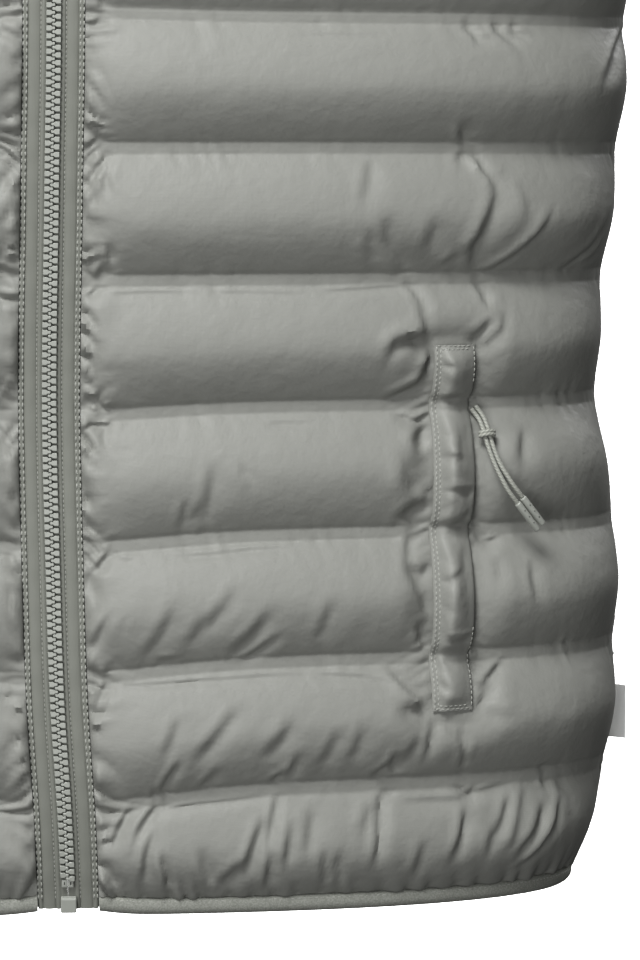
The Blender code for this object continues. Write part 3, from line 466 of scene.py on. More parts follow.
# Folds of the pocket welts, noted as the main creases are.
WELT_CREASES = (
    (-12, 15, 1534, 1996, 1583, 2007, 1629, 2010),
    (-13, 16, 1535, 1774, 1576, 1761, 1610, 1743),
    (-16, 18, 1536, 1624, 1602, 1618, 1678, 1607),
    (-11, 14, 1532, 1531, 1569, 1566),
    (-10, 14, 1532, 1483, 1574, 1501),
    (-10, 18, 1603, 1484, 1662, 1519),
    (-12, 17, 1545, 1247, 1620, 1293),
    (-15, 17, 1533, 1025, 1621, 1009, 1680, 1022),
    (-12, 16, 1546, 967, 1592, 917),
    (-12, 16, 1534, 842, 1575, 803),
    (-9, 22, 1626, 1864, 1610, 1703),
    (-9, 24, 1637, 1378, 1625, 1175),
    (-10, 15, 1528, 2165, 1578, 2140),
)


def smooth_step(value):
    """0 below 0, 1 above 1, and an easy rise between them."""
    value = np.clip(value, 0.0, 1.0)
    return value * value * (3.0 - 2.0 * value)


def spline_rows(table, values):
    """The table's columns at each value of its first column, on smooth curves through its rows."""
    rows = np.array(table, float)
    keys = rows[:, 0]
    values = np.clip(np.atleast_1d(values), keys[0], keys[-1])
    slopes = np.gradient(rows, keys, axis=0)
    i = np.clip(np.searchsorted(keys, values) - 1, 0, len(keys) - 2)
    step = (keys[i + 1] - keys[i])[:, None]
    t = (values - keys[i])[:, None] / step
    return (
        (2 * t**3 - 3 * t**2 + 1) * rows[i]
        + (t**3 - 2 * t**2 + t) * step * slopes[i]
        + (3 * t**2 - 2 * t**3) * rows[i + 1]
        + (t**3 - t**2) * step * slopes[i + 1]
    )


def rings(heights):
    """One side's half sections: x, y and the arc length from centre front to centre back, a row each."""
    columns = (c[:, None] for c in spline_rows(SECTIONS, heights).T)
    _, half_width, front_depth, back_depth, side_shift = columns
    angle = np.linspace(-math.pi / 2, math.pi / 2, RING_STEPS + 1)
    power = 2.0 / SECTION_POWER
    x = half_width * np.abs(np.cos(angle)) ** power
    depth = np.where(angle < 0, front_depth, back_depth) * np.sign(angle)
    y = side_shift + depth * np.abs(np.sin(angle)) ** power
    steps = np.hypot(np.diff(x), np.diff(y))
    return x, y, np.concatenate([np.zeros((len(x), 1)), np.cumsum(steps, axis=1)], axis=1)


def side_arc(heights):
    """Arcs from the centre front to the side line."""
    return rings(heights)[2][:, RING_STEPS // 2]


def back_arc(heights):
    """Arcs from the centre front to the centre back."""
    return rings(heights)[2][:, -1]


def arc_where(heights, across):
    """Arcs on the front of the sections where they lie this far from the centre plane."""
    x, _, arc = rings(heights)
    front = RING_STEPS // 2 + 1
    across = np.broadcast_to(across, len(x))
    return np.array([np.interp(a, xs[:front], arcs[:front]) for a, xs, arcs in zip(across, x, arc)])


def cloth(side, heights, arcs):
    """Points of the quilted wall at band level, a row of arcs for each height."""
    heights = np.asarray(heights, float)
    arcs = np.asarray(arcs, float)
    x, y, ring = rings(heights)
    across = np.array([np.interp(a, r, v) for a, r, v in zip(arcs, ring, x)])
    along = np.array([np.interp(a, r, v) for a, r, v in zip(arcs, ring, y)])
    sway = spline_rows(SWAY, heights)[:, 1:2] * np.exp(-((arcs / SWAY_REACH) ** 2))
    side_line = ring[:, RING_STEPS // 2, None]
    behind = np.maximum(0.0, (arcs - side_line) / (ring[:, -1:] - side_line))
    near_neck = smooth_step((heights - BACK_DROP_START) / (BODY_LENGTH - BACK_DROP_START))[:, None]
    drop = BACK_NECK_DROP * near_neck * smooth_step(behind)
    _, by_zip, elsewhere, reach = (column[:, None] for column in spline_rows(HANG, heights).T)
    hang = elsewhere + (by_zip - elsewhere) * np.exp(-((arcs / reach) ** 2))
    return np.stack([side * across + sway, along, heights[:, None] - BODY_LENGTH - drop + hang], axis=-1)


def unit(vectors):
    """Vectors of length 1."""
    return vectors / np.maximum(np.linalg.norm(vectors, axis=-1, keepdims=True), 1e-12)


def run_lengths(points):
    """Lengths along a line of points, from 0 at its start."""
    return np.concatenate([[0.0], np.cumsum(np.linalg.norm(np.diff(points, axis=0), axis=1))])


def at_lengths(at, lengths, values):
    """Values along a line, such as its points, at these lengths."""
    return np.stack([np.interp(at, lengths, column) for column in values.T], axis=-1)


def outward(side, heights, arcs):
    """Unit normals of the wall, pointing away from the wearer."""
    step = 0.002
    along = cloth(side, heights, arcs + step) - cloth(side, heights, arcs - step)
    up = cloth(side, heights + step, arcs) - cloth(side, heights - step, arcs)
    return unit(np.cross(along, up) * np.broadcast_to(side, arcs.shape)[..., None])


def raised(side, heights, arcs, lift):
    """Points of the wall moved outwards by lift."""
    return cloth(side, heights, arcs) + outward(side, heights, arcs) * np.asarray(lift)[..., None]


def baffle_shares(heights):
    """Each height's place in its padded channel, from 0 at the lower edge to 1, and the channel's height.
    Both are 0 on a band."""
    shares, sizes = np.zeros(len(heights)), np.zeros(len(heights))
    lows = [HEM_TOP] + [b + BAND_HEIGHT / 2 for b in BANDS]
    highs = [b - BAND_HEIGHT / 2 for b in BANDS] + [BODY_LENGTH]
    for low, high in zip(lows, highs):
        inside = (heights >= low) & (heights <= high)
        shares[inside] = (heights[inside] - low) / (high - low)
        sizes[inside] = high - low
    return shares, sizes


def puff_profile(share):
    """Swell of a channel from its lower edge, 0, to its upper edge, 1. The filling sags, so it is low."""
    peak = PUFF_LOW_POWER / (PUFF_LOW_POWER + PUFF_HIGH_POWER)
    top = peak**PUFF_LOW_POWER * (1 - peak) ** PUFF_HIGH_POWER
    share = np.clip(share, 0.0, 1.0)
    return share**PUFF_LOW_POWER * (1 - share) ** PUFF_HIGH_POWER / top


def swell(lifts, heights):
    """The swell as the filling really hangs: a straight upper slope and a round belly over the band below."""
    shares, sizes = baffle_shares(heights)
    below = np.clip((BELLY - shares) / BELLY, 0, 1)
    above = np.clip((shares - BELLY) / (1 - BELLY), 0, 1)
    lower = (1 - TURN_SHARE) * (1 - below**SLOPE_POWER) + TURN_SHARE * np.sqrt(1 - below**TURN_POWER)
    hung = np.where(shares < BELLY, lower, 1 - above**SLOPE_POWER) * (sizes > 0)
    return lifts * (hung / np.maximum(puff_profile(shares), LEAST_PROFILE))[:, None]


def edge_rise(distance):
    """How much of the swell is left this far from the zip."""
    inside = np.clip(distance / EDGE_ROUND, 0.0, 1.0)
    return EDGE_PUFF + (1 - EDGE_PUFF) * np.sqrt(1 - (1 - inside) ** 2)


def side_rise(distance):
    """How much of the swell is left this far from a side seam, where the cloth lies flatter."""
    return SIDE_PUFF + (1 - SIDE_PUFF) * smooth_step(distance / SIDE_ROUND)


def puff(heights, from_side, from_zip=EDGE_ROUND):
    """Swell of the wall at each height, this far from its side seam and the zip."""
    shares, sizes = baffle_shares(heights)
    full = PUFF_HEIGHT * np.minimum(1.0, sizes / PUFF_BAFFLE) * puff_profile(shares)
    return full[:, None] * side_rise(from_side) * edge_rise(from_zip)


def welt_arcs(heights):
    """Arcs of a pocket welt's two edges."""
    return arc_where(heights, WELT_INNER), arc_where(heights, WELT_OUTER)


def off_welt(heights, arcs):
    """Distance of each place from the pocket welt's stitched outline, 0 under the welt."""
    inner, outer = (edge[:, None] for edge in welt_arcs(heights))
    across = np.maximum(np.maximum(inner - arcs, arcs - outer), 0.0)
    above = np.maximum(np.maximum(WELT_LOW - heights, heights - WELT_HIGH), 0.0)[:, None]
    return np.hypot(across, above)


def front_lift(heights, arcs):
    """Swell of a front panel, pinched in under and beside the stitched welt."""
    low, high = front_limits(heights)
    near = 1.0 - smooth_step(off_welt(heights, arcs) / PINCH_REACH)
    return puff(heights, high[:, None] - arcs, arcs - low[:, None]) * (1.0 - (1.0 - PINCH) * near)


def armhole_depth(heights, reach):
    """How far the armhole's edge lies from the side line."""
    return reach * np.sqrt(np.maximum(0.0, 1 - ((heights - ARMHOLE_MIDDLE) / ARMHOLE_HALF) ** 2))


def front_limits(heights):
    """Arcs of the front panel's two edges."""
    fall = (BODY_LENGTH - heights) / (BODY_LENGTH - NECK_FRONT)
    neck = NECK_HALF_WIDTH * np.sqrt(np.maximum(0.0, 1 - fall**2))
    low = arc_where(heights, np.maximum(PLACKET_HALF, neck))
    return low, side_arc(heights) - armhole_depth(heights, ARMHOLE_FRONT) - SEAM_GAP / 2


def back_start(heights):
    """Arcs of the back panel's edge."""
    return side_arc(heights) + armhole_depth(heights, ARMHOLE_BACK) + SEAM_GAP / 2


def crowded(count, crowding, **ends):
    """Shares from 0 to 1 that lie closer at both ends."""
    shares = np.linspace(0.0, 1.0, count, **ends)
    return shares - crowding * np.sin(2 * math.pi * shares) / (2 * math.pi)


def row_heights(top, step):
    """Heights of a panel's rows about a step apart, closer at both edges of each band."""
    edges = [HEM_TOP] + [b + s * BAND_HEIGHT / 2 for b in BANDS for s in (-1, 1)] + [top]
    rows = []
    for low, high in zip(edges, edges[1:]):
        size = step if high < FINE_BELOW else COARSE_ROWS * step
        count = max(FEWEST_ROWS, round((high - low) / size))
        crowding = ROW_CROWDING if high - low > 2 * BAND_HEIGHT else 0.0
        rows.extend(low + (high - low) * crowded(count, crowding, endpoint=False))
    return np.array(rows + [top])


def ripple(places, wave, seed):
    """A smooth uneven wave from -1 to 1 along places, about one swing in a wave length."""
    dice = np.random.default_rng(seed)
    knots = dice.uniform(-1.0, 1.0, int((np.max(places) - np.min(places)) / (0.5 * wave)) + 4)
    knots[::2] = np.abs(knots[::2])
    knots[1::2] = -np.abs(knots[1::2])
    where = (places - np.min(places)) / (0.5 * wave)
    i = np.clip(where.astype(int), 0, len(knots) - 2)
    return knots[i] + (knots[i + 1] - knots[i]) * smooth_step(where - i)


def pleats(places, pitch, seed):
    """Uneven rounded folds along places, about a pitch apart, with sharp valleys between them at 0."""
    dice = np.random.default_rng(seed)
    steps = pitch * dice.uniform(0.55, 1.5, int(np.ptp(places) / pitch * 1.6) + 6)
    valleys = np.cumsum(steps) + np.min(places) - 2 * pitch
    sizes = dice.uniform(0.35, 1.0, len(valleys))
    i = np.clip(np.searchsorted(valleys, places) - 1, 0, len(valleys) - 2)
    share = np.clip((places - valleys[i]) / (valleys[i + 1] - valleys[i]), 0.0, 1.0)
    return sizes[i] * np.sin(math.pi * share) ** 0.65


def gathers(heights, arcs, low, high, beside, seed):
    """Small folds that the sewing gathers: along the bands and hem, at both side edges and beside a welt."""
    total = np.zeros_like(arcs)
    tall = np.broadcast_to(heights[:, None], arcs.shape)
    for number, band in enumerate((HEM_TOP, *BANDS)):
        edge, reach, rise, pitch = BAND_GATHERS if number else HEM_GATHERS
        away = np.abs(heights - band) - edge
        fade = np.exp(-np.maximum(away, 0.0) / reach) * np.where(away < -1e-6, BAND_INSIDE, 1.0)
        fold = pleats(arcs + BAND_SLANT * (heights - band)[:, None], pitch, seed + number)
        patchy = 1.0
        if number:
            patchy = smooth_step(PATCH_BASE + PATCH_SWING * ripple(arcs, PATCH_WAVE, seed + 40 + number))
        total += rise * (fold - BAND_MEAN) * patchy * fade[:, None]
    for number, away in enumerate((arcs - low[:, None], high[:, None] - arcs)):
        reach = EDGE_REACH + EDGE_REACH_SWING * ripple(tall, EDGE_REACH_WAVE, seed + 80 + number)
        slant = EDGE_SLANT * ripple(tall, EDGE_SLANT_WAVE, seed + 90 + number)
        fold = pleats(tall + slant * away, EDGE_PITCH, seed + 60 + number)
        root = EDGE_ROOT + (1 - EDGE_ROOT) * smooth_step(away / EDGE_ROOT_REACH)
        fade = np.exp(-((np.maximum(away, 0.0) / reach) ** EDGE_POWER)) * root
        total += EDGE_GATHERS[number] * (fold - 0.5) * fade
    if beside is not None:
        fold = pleats(tall + BESIDE_SLANT * beside, BESIDE_PITCH, seed + 77)
        fade = np.exp(-beside / BESIDE_REACH) * smooth_step(beside / BESIDE_ROOT)
        total += BESIDE_RISE * (fold - 0.5) * fade
    return total


def crease_field(across, tall, creases):
    """Rise and fall of the listed folds at each place of a panel, seen from its own side."""
    total = np.zeros_like(across)
    for rise, width, *places in creases:
        rise, width = rise / FOLD_UNIT, width / FOLD_UNIT
        line = np.reshape(places, (-1, 2)) / FOLD_UNIT
        room = np.ptp(line, axis=0) / 2 + FOLD_REACH * width + FOLD_MARGIN
        middle = line.mean(axis=0)
        near = (np.abs(across - middle[0]) < room[0]) & (np.abs(tall - middle[1]) < room[1])
        if not near.any():
            continue
        x, z = across[near], tall[near]
        starts = run_lengths(line)
        nearest, lit, share = np.full(x.shape, np.inf), np.zeros_like(x), np.zeros_like(x)
        for (ax, az), (bx, bz), start, length in zip(line, line[1:], starts, np.diff(starts)):
            dx, dz = (bx - ax) / length, (bz - az) / length
            t = np.clip((x - ax) * dx + (z - az) * dz, 0.0, length)
            off_x, off_z = x - ax - t * dx, z - az - t * dz
            distance = np.hypot(off_x, off_z)
            closer = distance < nearest
            nearest = np.where(closer, distance, nearest)
            lit = np.where(closer, LIGHT_UP * off_z + LIGHT_ACROSS * off_x, lit)
            share = np.where(closer, (start + t) / starts[-1], share)
        taper = np.clip(4.0 * share * (1.0 - share) + FOLD_ENDS, 0.0, 1.0)
        steep = lit * rise < 0
        wide = width * np.where(steep, *FOLD_WIDTHS)
        lip = np.where(steep, *FOLD_LIPS) * np.exp(-(((nearest - LIP_AWAY * wide) / (LIP_WIDTH * wide)) ** 2))
        total[near] += rise * taper * (np.exp(-((nearest / wide) ** FOLD_POWER)) - lip)
    return total


def other_creases(seed):
    """Creases for a hidden panel: most of the left front's, each shifted a little in place and size."""
    dice = np.random.default_rng(seed)
    made = []
    for rise, width, *places in CREASES:
        shift = [dice.uniform(-60, 60), dice.choice((0, 520)) + dice.uniform(-12, 12)]
        if dice.random() < 0.7:
            places = np.array(places) + np.tile(shift, len(places) // 2)
            made.append((rise * dice.uniform(0.6, 1.1), width * dice.uniform(0.9, 1.3), *places))
    return made


def finer(grid):
    """A grid of points with a new row between each two, on smooth curves."""
    first, last = 2 * grid[:1] - grid[1:2], 2 * grid[-1:] - grid[-2:-1]
    long = np.concatenate([first, grid, last])
    middle = (9 * (long[1:-2] + long[2:-1]) - long[:-3] - long[3:]) / 16
    out = np.empty((2 * len(grid) - 1, *grid.shape[1:]))
    out[::2], out[1::2] = grid, middle
    return out


def finer_both(grid):
    """A grid made twice as fine along both ways."""
    return np.swapaxes(finer(np.swapaxes(finer(grid), 0, 1)), 0, 1)


def grid_quads(rows, columns, looped=False):
    """Corner numbers of the faces of a grid of points."""
    r, c = np.arange(rows - 1)[:, None], np.arange(columns if looped else columns - 1)[None, :]
    a, b = r * columns + c, r * columns + (c + 1) % columns
    return np.stack([a, b, b + columns, a + columns], axis=-1).reshape(-1, 4)


def select_only(made, *others):
    """Selects objects and makes the first one active."""
    bpy.ops.object.select_all(action="DESELECT")
    for one in (made, *others):
        one.select_set(True)
    bpy.context.view_layer.objects.active = made


def edit_one(made, kind, choose):
    """Enters edit mode with only the chosen face or edge of an object selected."""
    bpy.ops.object.mode_set(mode="EDIT")
    bpy.ops.mesh.select_mode(type=kind)
    bpy.ops.mesh.select_all(action="DESELECT")
    bpy.ops.object.mode_set(mode="OBJECT")
    choose(made.data).select = True
    bpy.ops.object.mode_set(mode="EDIT")


def add_block(size, place, turn=(0.0, 0.0, 0.0)):
    """A block with its size, place and turn applied."""
    bpy.ops.object.select_all(action="DESELECT")
    bpy.ops.mesh.primitive_cube_add(size=1.0, location=place, rotation=turn)
    made = bpy.context.object
    made.scale = size
    bpy.ops.object.transform_apply(location=True, rotation=True, scale=True)
    return made


def add_mesh(name, points, faces, material, flat=None, sharp=60.0):
    """A smooth object from points and faces, with its faces turned out and the cloth's flat places as UVs."""
    mesh = bpy.data.meshes.new(name)
    mesh.from_pydata(np.asarray(points).reshape(-1, 3).tolist(), [], [list(map(int, f)) for f in faces])
    made = bpy.data.objects.new(name, mesh)
    bpy.context.scene.collection.objects.link(made)
    mesh.materials.append(material)
    if flat is not None:
        layer = mesh.uv_layers.new(name="cloth")
        corners = np.empty(len(mesh.loops), dtype=np.int32)
        mesh.loops.foreach_get("vertex_index", corners)
        layer.data.foreach_set("uv", np.asarray(flat, float).reshape(-1, 2)[corners].ravel())
    turned = bmesh.new()
    turned.from_mesh(mesh)
    bmesh.ops.recalc_face_normals(turned, faces=turned.faces)
    turned.to_mesh(mesh)
    turned.free()
    mesh.shade_smooth()
    if sharp:
        mesh.set_sharp_from_angle(angle=math.radians(sharp))
    return made


def wall(name, outer, inner, every, material, looped=False, flat=None, sharp=60.0):
    """A closed wall between a fine grid of outer points and the inner grid, of which some rows are kept."""
    rows, columns = outer.shape[:2]
    kept = sorted({*range(0, rows, every), rows - 1})
    base = rows * columns
    faces = grid_quads(rows, columns, looped).tolist()
    faces += (grid_quads(len(kept), columns, looped)[:, ::-1] + base).tolist()
    spans = [(c, (c + 1) % columns) for c in range(columns if looped else columns - 1)]
    for row, k in ((0, 0), (rows - 1, len(kept) - 1)):
        for a, b in spans:
            quad = [row * columns + a, row * columns + b, base + k * columns + b, base + k * columns + a]
            faces.append(quad if row else quad[::-1])
    for k, (i, j) in () if looped else enumerate(zip(kept, kept[1:])):
        for c in (0, columns - 1):
            edge = [r * columns + c for r in range(i, j + 1)]
            ring = edge + [base + (k + 1) * columns + c, base + k * columns + c]
            faces.append(ring if c == 0 else ring[::-1])
    points = np.concatenate([outer.reshape(-1, 3), inner[kept].reshape(-1, 3)])
    if flat is not None:
        flat = np.concatenate([flat.reshape(-1, 2), flat[kept].reshape(-1, 2)])
    return add_mesh(name, points, faces, material, flat, sharp)


def settle(grid, pinned, slack, pressure, frames):
    """The grid of points after its padding has swelled: a cloth simulation with the sewn places held."""
    rows, columns = grid.shape[:2]
    made = add_mesh("settling", grid, grid_quads(rows, columns), None, sharp=None)
    for name, weights in (("seams", pinned), ("slack", slack)):
        group = made.vertex_groups.new(name=name)
        values = weights.ravel()
        for level in np.unique(np.round(values, 2)):
            if level > 0:
                group.add(np.flatnonzero(np.abs(values - level) < 0.0051).tolist(), float(level), "REPLACE")
    select_only(made)
    bpy.ops.object.modifier_add(type="CLOTH")
    change = made.modifiers[-1]
    how = change.settings
    how.quality = 5
    how.tension_stiffness = how.compression_stiffness = 15
    how.shear_stiffness = 5
    how.bending_stiffness = 0.05
    how.vertex_group_mass = "seams"
    how.vertex_group_shrink = "slack"
    how.shrink_min, how.shrink_max = 0.0, -0.06
    how.use_pressure = True
    how.uniform_pressure_force = pressure
    how.effector_weights.gravity = 0
    change.collision_settings.use_collision = False
    for number in range(1, frames + 1):
        bpy.context.scene.frame_set(number)
    bpy.ops.object.modifier_apply(modifier=change.name)
    bpy.context.scene.frame_set(1)
    points = np.empty(rows * columns * 3)
    made.data.vertices.foreach_get("co", points)
    bpy.data.objects.remove(made)
    return points.reshape(rows, columns, 3)


def linear(code):
    """Linear colour of an sRGB hex code."""
    parts = [int(code[i : i + 2], 16) / 255 for i in (1, 3, 5)]
    return (*(p / 12.92 if p <= 0.04045 else ((p + 0.055) / 1.055) ** 2.4 for p in parts), 1.0)


def add_node(tree, kind, sockets=(), **settings):
    """A shader node with its settings, its sockets set to values or joined to other nodes' outputs."""
    made = tree.nodes.new(kind)
    for name, value in settings.items():
        setattr(made, name, value)
    for name, value in dict(sockets).items():
        if isinstance(value, bpy.types.NodeSocket):
            tree.links.new(value, made.inputs[name])
        else:
            made.inputs[name].default_value = value
    return made


def pattern(tree, kind, size, detail):
    """Height of a pattern: noise this many metres wide, or threads this far apart along the cloth."""
    place = add_node(tree, "ShaderNodeTexCoord").outputs
    if kind == "noise":
        sockets = {"Vector": place["Object"], "Scale": 1.0 / size, "Detail": detail}
        return add_node(tree, "ShaderNodeTexNoise", sockets).outputs["Fac"]
    if kind == "weave":
        sets = {i: pattern(tree, way, size, detail) for i, way in enumerate("XY")}
        return add_node(tree, "ShaderNodeMath", sets, operation="ADD").outputs[0]
    sockets = {"Vector": place["UV"], "Scale": 2 * math.pi / (20 * size)}
    return add_node(tree, "ShaderNodeTexWave", sockets, bands_direction=kind).outputs["Fac"]


def material(kind):
    """The Principled material of one kind with its flecks and bumps, made once."""
    if kind in MADE:
        return MADE[kind]
    name, code, roughness, further, flecks, bumps = MATERIALS[kind]
    made = MADE[kind] = bpy.data.materials.new(name)
    made.use_nodes = True
    tree = made.node_tree
    shader = tree.nodes["Principled BSDF"]
    for socket, value in {"Base Color": linear(code), "Roughness": roughness, **further}.items():
        shader.inputs[socket].default_value = value
    normal = {}
    for shape, size, detail, strength, depth in bumps:
        height = pattern(tree, shape, size, detail)
        if flecks:
            dark, pale, *places = flecks
            ramp = add_node(tree, "ShaderNodeValToRGB", {"Fac": height})
            for stop, colour, position in zip(ramp.color_ramp.elements, (dark, pale), places):
                stop.position, stop.color = position, linear(colour)
            tree.links.new(ramp.outputs["Color"], shader.inputs["Base Color"])
        sockets = {"Height": height, "Strength": strength, "Distance": depth, **normal}
        normal = {"Normal": add_node(tree, "ShaderNodeBump", sockets).outputs["Normal"]}
    for socket in normal.values():
        tree.links.new(socket, shader.inputs["Normal"])
    return made


def place_piece(made, slot, *nodes, body="garment"):
    """Lets a piece stand for CAD nodes and move with their body. Its slot is not used."""
    if nodes:
        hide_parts(*nodes)
    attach(made, body)
    return made


def make_panel(name, side, heights, arcs, along, ends, lifts, seed, creases, welted, settings):
    """A quilted panel: its swell and folds, settled by the cloth simulation, over a plain inside."""

    def folds_at(heights, arcs, along, low, high, side):
        """Ways out, band-level points and rise of the folds on a grid, and where the sewing holds it."""
        base = cloth(side, heights, arcs)
        beside = off_welt(heights, arcs) if welted else None
        across = np.abs(base[..., 0]) if welted else 0.5 * along
        held = (baffle_shares(heights)[1] == 0)[:, None] * np.ones_like(arcs)
        if welted:
            held = np.maximum(held, beside <= 0.0)
        hand = crease_field(across, base[..., 2] + BODY_LENGTH, creases) * (1 - SEWN_FLAT * held)
        folds = gathers(heights, along, low, high, beside, seed) + hand
        return outward(side, heights, arcs), base, folds, held

    low, high = ends
    ways, base, folds, held = folds_at(heights, arcs, along, low, high, side)
    shares, _ = baffle_shares(heights)
    lifts = swell(lifts, heights)
    grid = base + ways * (lifts * settings.fill + settings.before * folds)[..., None]
    grid[..., 2] -= settings.sag * np.sin(math.pi * np.clip(shares, 0, 1))[:, None] * lifts / PUFF_HEIGHT
    if settings.frames:
        sewn = np.maximum(held, ((shares < 1e-6) | (shares > 1 - 1e-6))[:, None])
        sewn[[0, -1], :] = sewn[:, [0, -1]] = 1.0
        from_edge = np.minimum(along - low[:, None], high[:, None] - along)
        slack = SLACK + EDGE_SLACK * np.exp(-from_edge / EDGE_SLACK_REACH)
        slack = slack + HEM_SLACK * np.exp(-(heights - HEM_TOP) / HEM_SLACK_REACH)[:, None]
        moved = settle(grid, sewn, np.clip(slack, 0, 1), settings.pressure, settings.frames) - grid
        far = np.linalg.norm(moved, axis=-1, keepdims=True)
        grid = grid + moved * np.minimum(1.0, settings.cap / np.maximum(far, 1e-9))
    outer, heights, arcs, along = finer_both(grid), finer(heights), finer_both(arcs), finer_both(along)
    low, high = finer(low), finer(high)
    if not np.isscalar(side):
        side = np.where(np.arange(arcs.shape[1]) <= arcs.shape[1] // 2, LEFT, RIGHT)
    ways, base, folds, _ = folds_at(heights, arcs, along, low, high, side)
    outer = outer + ways * ((1 - settings.before) * folds)[..., None]
    depth = ((outer - base) * ways).sum(axis=-1)
    outer = outer + ways * np.maximum(0.0, -DEEPEST - depth)[..., None]
    inner = raised(side, heights, arcs, np.full(arcs.shape, -WALL))
    flat = np.stack([along, np.broadcast_to(heights[:, None], arcs.shape)], axis=-1)
    made = wall(name + "_quilted", outer, inner, KEPT_INSIDE, material("shell"), flat=flat)
    return place_piece(made, "shell", name)


def make_front(side, settings):
    """A front panel, from the zip to the side seam, armhole and shoulder."""
    step = settings.grid if side == LEFT else RIGHT_STEP * settings.grid
    heights = row_heights(FRONT_TOP, step)
    low, high = front_limits(heights)
    shares = crowded(int(round((high - low).max() / step)) + 1, COLUMN_CROWDING)
    arcs = low[:, None] + shares * (high - low)[:, None]
    lifts = front_lift(heights, arcs)
    seed, creases = (11, CREASES) if side == LEFT else (23, other_creases(5))
    name = "front_" + SIDE_NAMES[side]
    return make_panel(name, side, heights, arcs, arcs, (low, high), lifts, seed, creases, True, settings)


def make_back(settings):
    """The back panel, in one piece from side seam to side seam."""
    step = BACK_STEP * settings.grid
    heights = row_heights(BODY_LENGTH, step)
    start, end = back_start(heights), back_arc(heights)
    count = int(round((end - start).max() / step))
    half = start[:, None] + np.linspace(0.0, 1.0, count + 1) * (end - start)[:, None]
    arcs = np.concatenate([half, half[:, -2::-1]], axis=1)
    side = np.where(np.arange(arcs.shape[1]) <= count, LEFT, RIGHT)
    width = 2 * (end - start)
    from_left = half - start[:, None]
    along = np.concatenate([from_left, width[:, None] - from_left[:, -2::-1]], axis=1)
    lifts = puff(heights, np.minimum(along, width[:, None] - along))
    ends = (np.zeros(len(heights)), width)
    return make_panel("back", side, heights, arcs, along, ends, lifts, 37, other_creases(8), False, settings)


def neckline(side, heights):
    """Points of one side's neckline from the centre front to the shoulder seam, and on to the centre back."""
    front = cloth(side, heights, front_limits(heights)[0][:, None])[:, 0]
    top = np.array([BODY_LENGTH])
    behind = np.linspace(side_arc(top)[0], back_arc(top)[0], BACK_NECK_STEPS)[None, :]
    return np.concatenate([front, cloth(side, top, behind)[0]])


def collar_points(base, rise, lift):
    """A row of the collar above the neckline. Rise goes from 0 at the seam to 1 at the top edge."""
    beside = np.sign(base[:, 0]) * np.maximum(np.abs(base[:, 0]) - PLACKET_HALF, 0.0)
    around = np.stack([beside, base[:, 1], np.zeros(len(base))], axis=-1)
    size = np.linalg.norm(around, axis=1)
    shift = lift - COLLAR_INSET - COLLAR_LEAN * rise * size
    return base + around / size[:, None] * shift[:, None] + [0.0, 0.0, 2 * SEAM_GAP + COLLAR_HEIGHT * rise]


def make_collar():
    """The stand collar, quilted in two channels, open at the zip."""
    turn = np.linspace(0.0, math.pi / 2, NECK_STEPS)
    heights = BODY_LENGTH - (BODY_LENGTH - NECK_FRONT) * np.cos(turn * NECK_TURN)
    heights = np.clip(heights, NECK_FRONT, FRONT_TOP)
    base = np.concatenate([neckline(LEFT, heights), neckline(RIGHT, heights)[-2::-1]])
    ends = run_lengths(base)
    even = np.linspace(0.0, ends[-1], 2 * int(ends[-1] / COLLAR_COLUMN) + 1)
    base = at_lengths(even, ends, base)
    fade = np.minimum(1.0, COLLAR_END_PUFF + np.minimum(even, even[-1] - even) / COLLAR_EDGE)
    band = BAND_HEIGHT / COLLAR_HEIGHT / 2
    rises, lifts = [-COLLAR_TUCK], [np.zeros(len(base))]
    for low, high in ((0.0, COLLAR_BAND - band), (COLLAR_BAND + band, 1.0)):
        for share in np.linspace(0.0, 1.0, COLLAR_ROWS):
            near = math.exp(-share / COLLAR_FOLD_REACH) + math.exp(-(1 - share) / COLLAR_FOLD_REACH)
            folds = COLLAR_FOLD * ripple(even, COLLAR_FOLD_WAVE, 5) * near
            rises.append(low + (high - low) * share)
            lifts.append((COLLAR_PUFF * puff_profile(share) + folds) * fade)
    outer = np.array([collar_points(base, rise, lift) for rise, lift in zip(rises, lifts)])
    inner = np.array([collar_points(base, rise, np.full(len(base), -COLLAR_WALL)) for rise in rises])
    along, up = finer(even[:, None])[:, 0], finer(np.array(rises)[:, None])[:, 0] * COLLAR_HEIGHT
    flat = np.stack(np.meshgrid(along, up), axis=-1)
    made = wall("collar_quilted", finer_both(outer), finer_both(inner), 6, material("shell"), flat=flat)
    return place_piece(made, "shell", "collar")


def hem_arcs(at, inset, count):
    """Arcs round the hem at a height: along a front, from an inset off the zip, and along half the back."""
    low, high = (v[0] for v in front_limits(at))
    return np.linspace(low + inset, high, count), np.linspace(back_start(at)[0], back_arc(at)[0], count)


def make_hem_binding():
    """The stretch binding round the hem, open at the zip: a soft roll with a shallow row of gathers."""
    outer, inner = [], []
    for height, lift in HEM_SECTION:
        at = np.array([height])
        front, back = hem_arcs(at, 0.0, HEM_COLUMNS)
        rows_out, rows_in = [], []
        for side, arcs in ((LEFT, front), (LEFT, back), (RIGHT, back[-2::-1]), (RIGHT, front[::-1])):
            wave = HEM_WAVE * ripple(arcs, HEM_WAVE_LENGTH, 3 + side) * (height > HEM_PLAIN)
            rows_out.append(raised(side, at, arcs[None, :], lift + wave[None, :])[0])
            rows_in.append(raised(side, at, arcs[None, :], np.full((1, len(arcs)), -HEM_INSIDE))[0])
        outer.append(np.concatenate(rows_out))
        inner.append(np.concatenate(rows_in))
    made = wall("hem_binding_rolled", np.array(outer), np.array(inner), 6, material("binding"))
    return place_piece(made, "binding", "hem_binding")


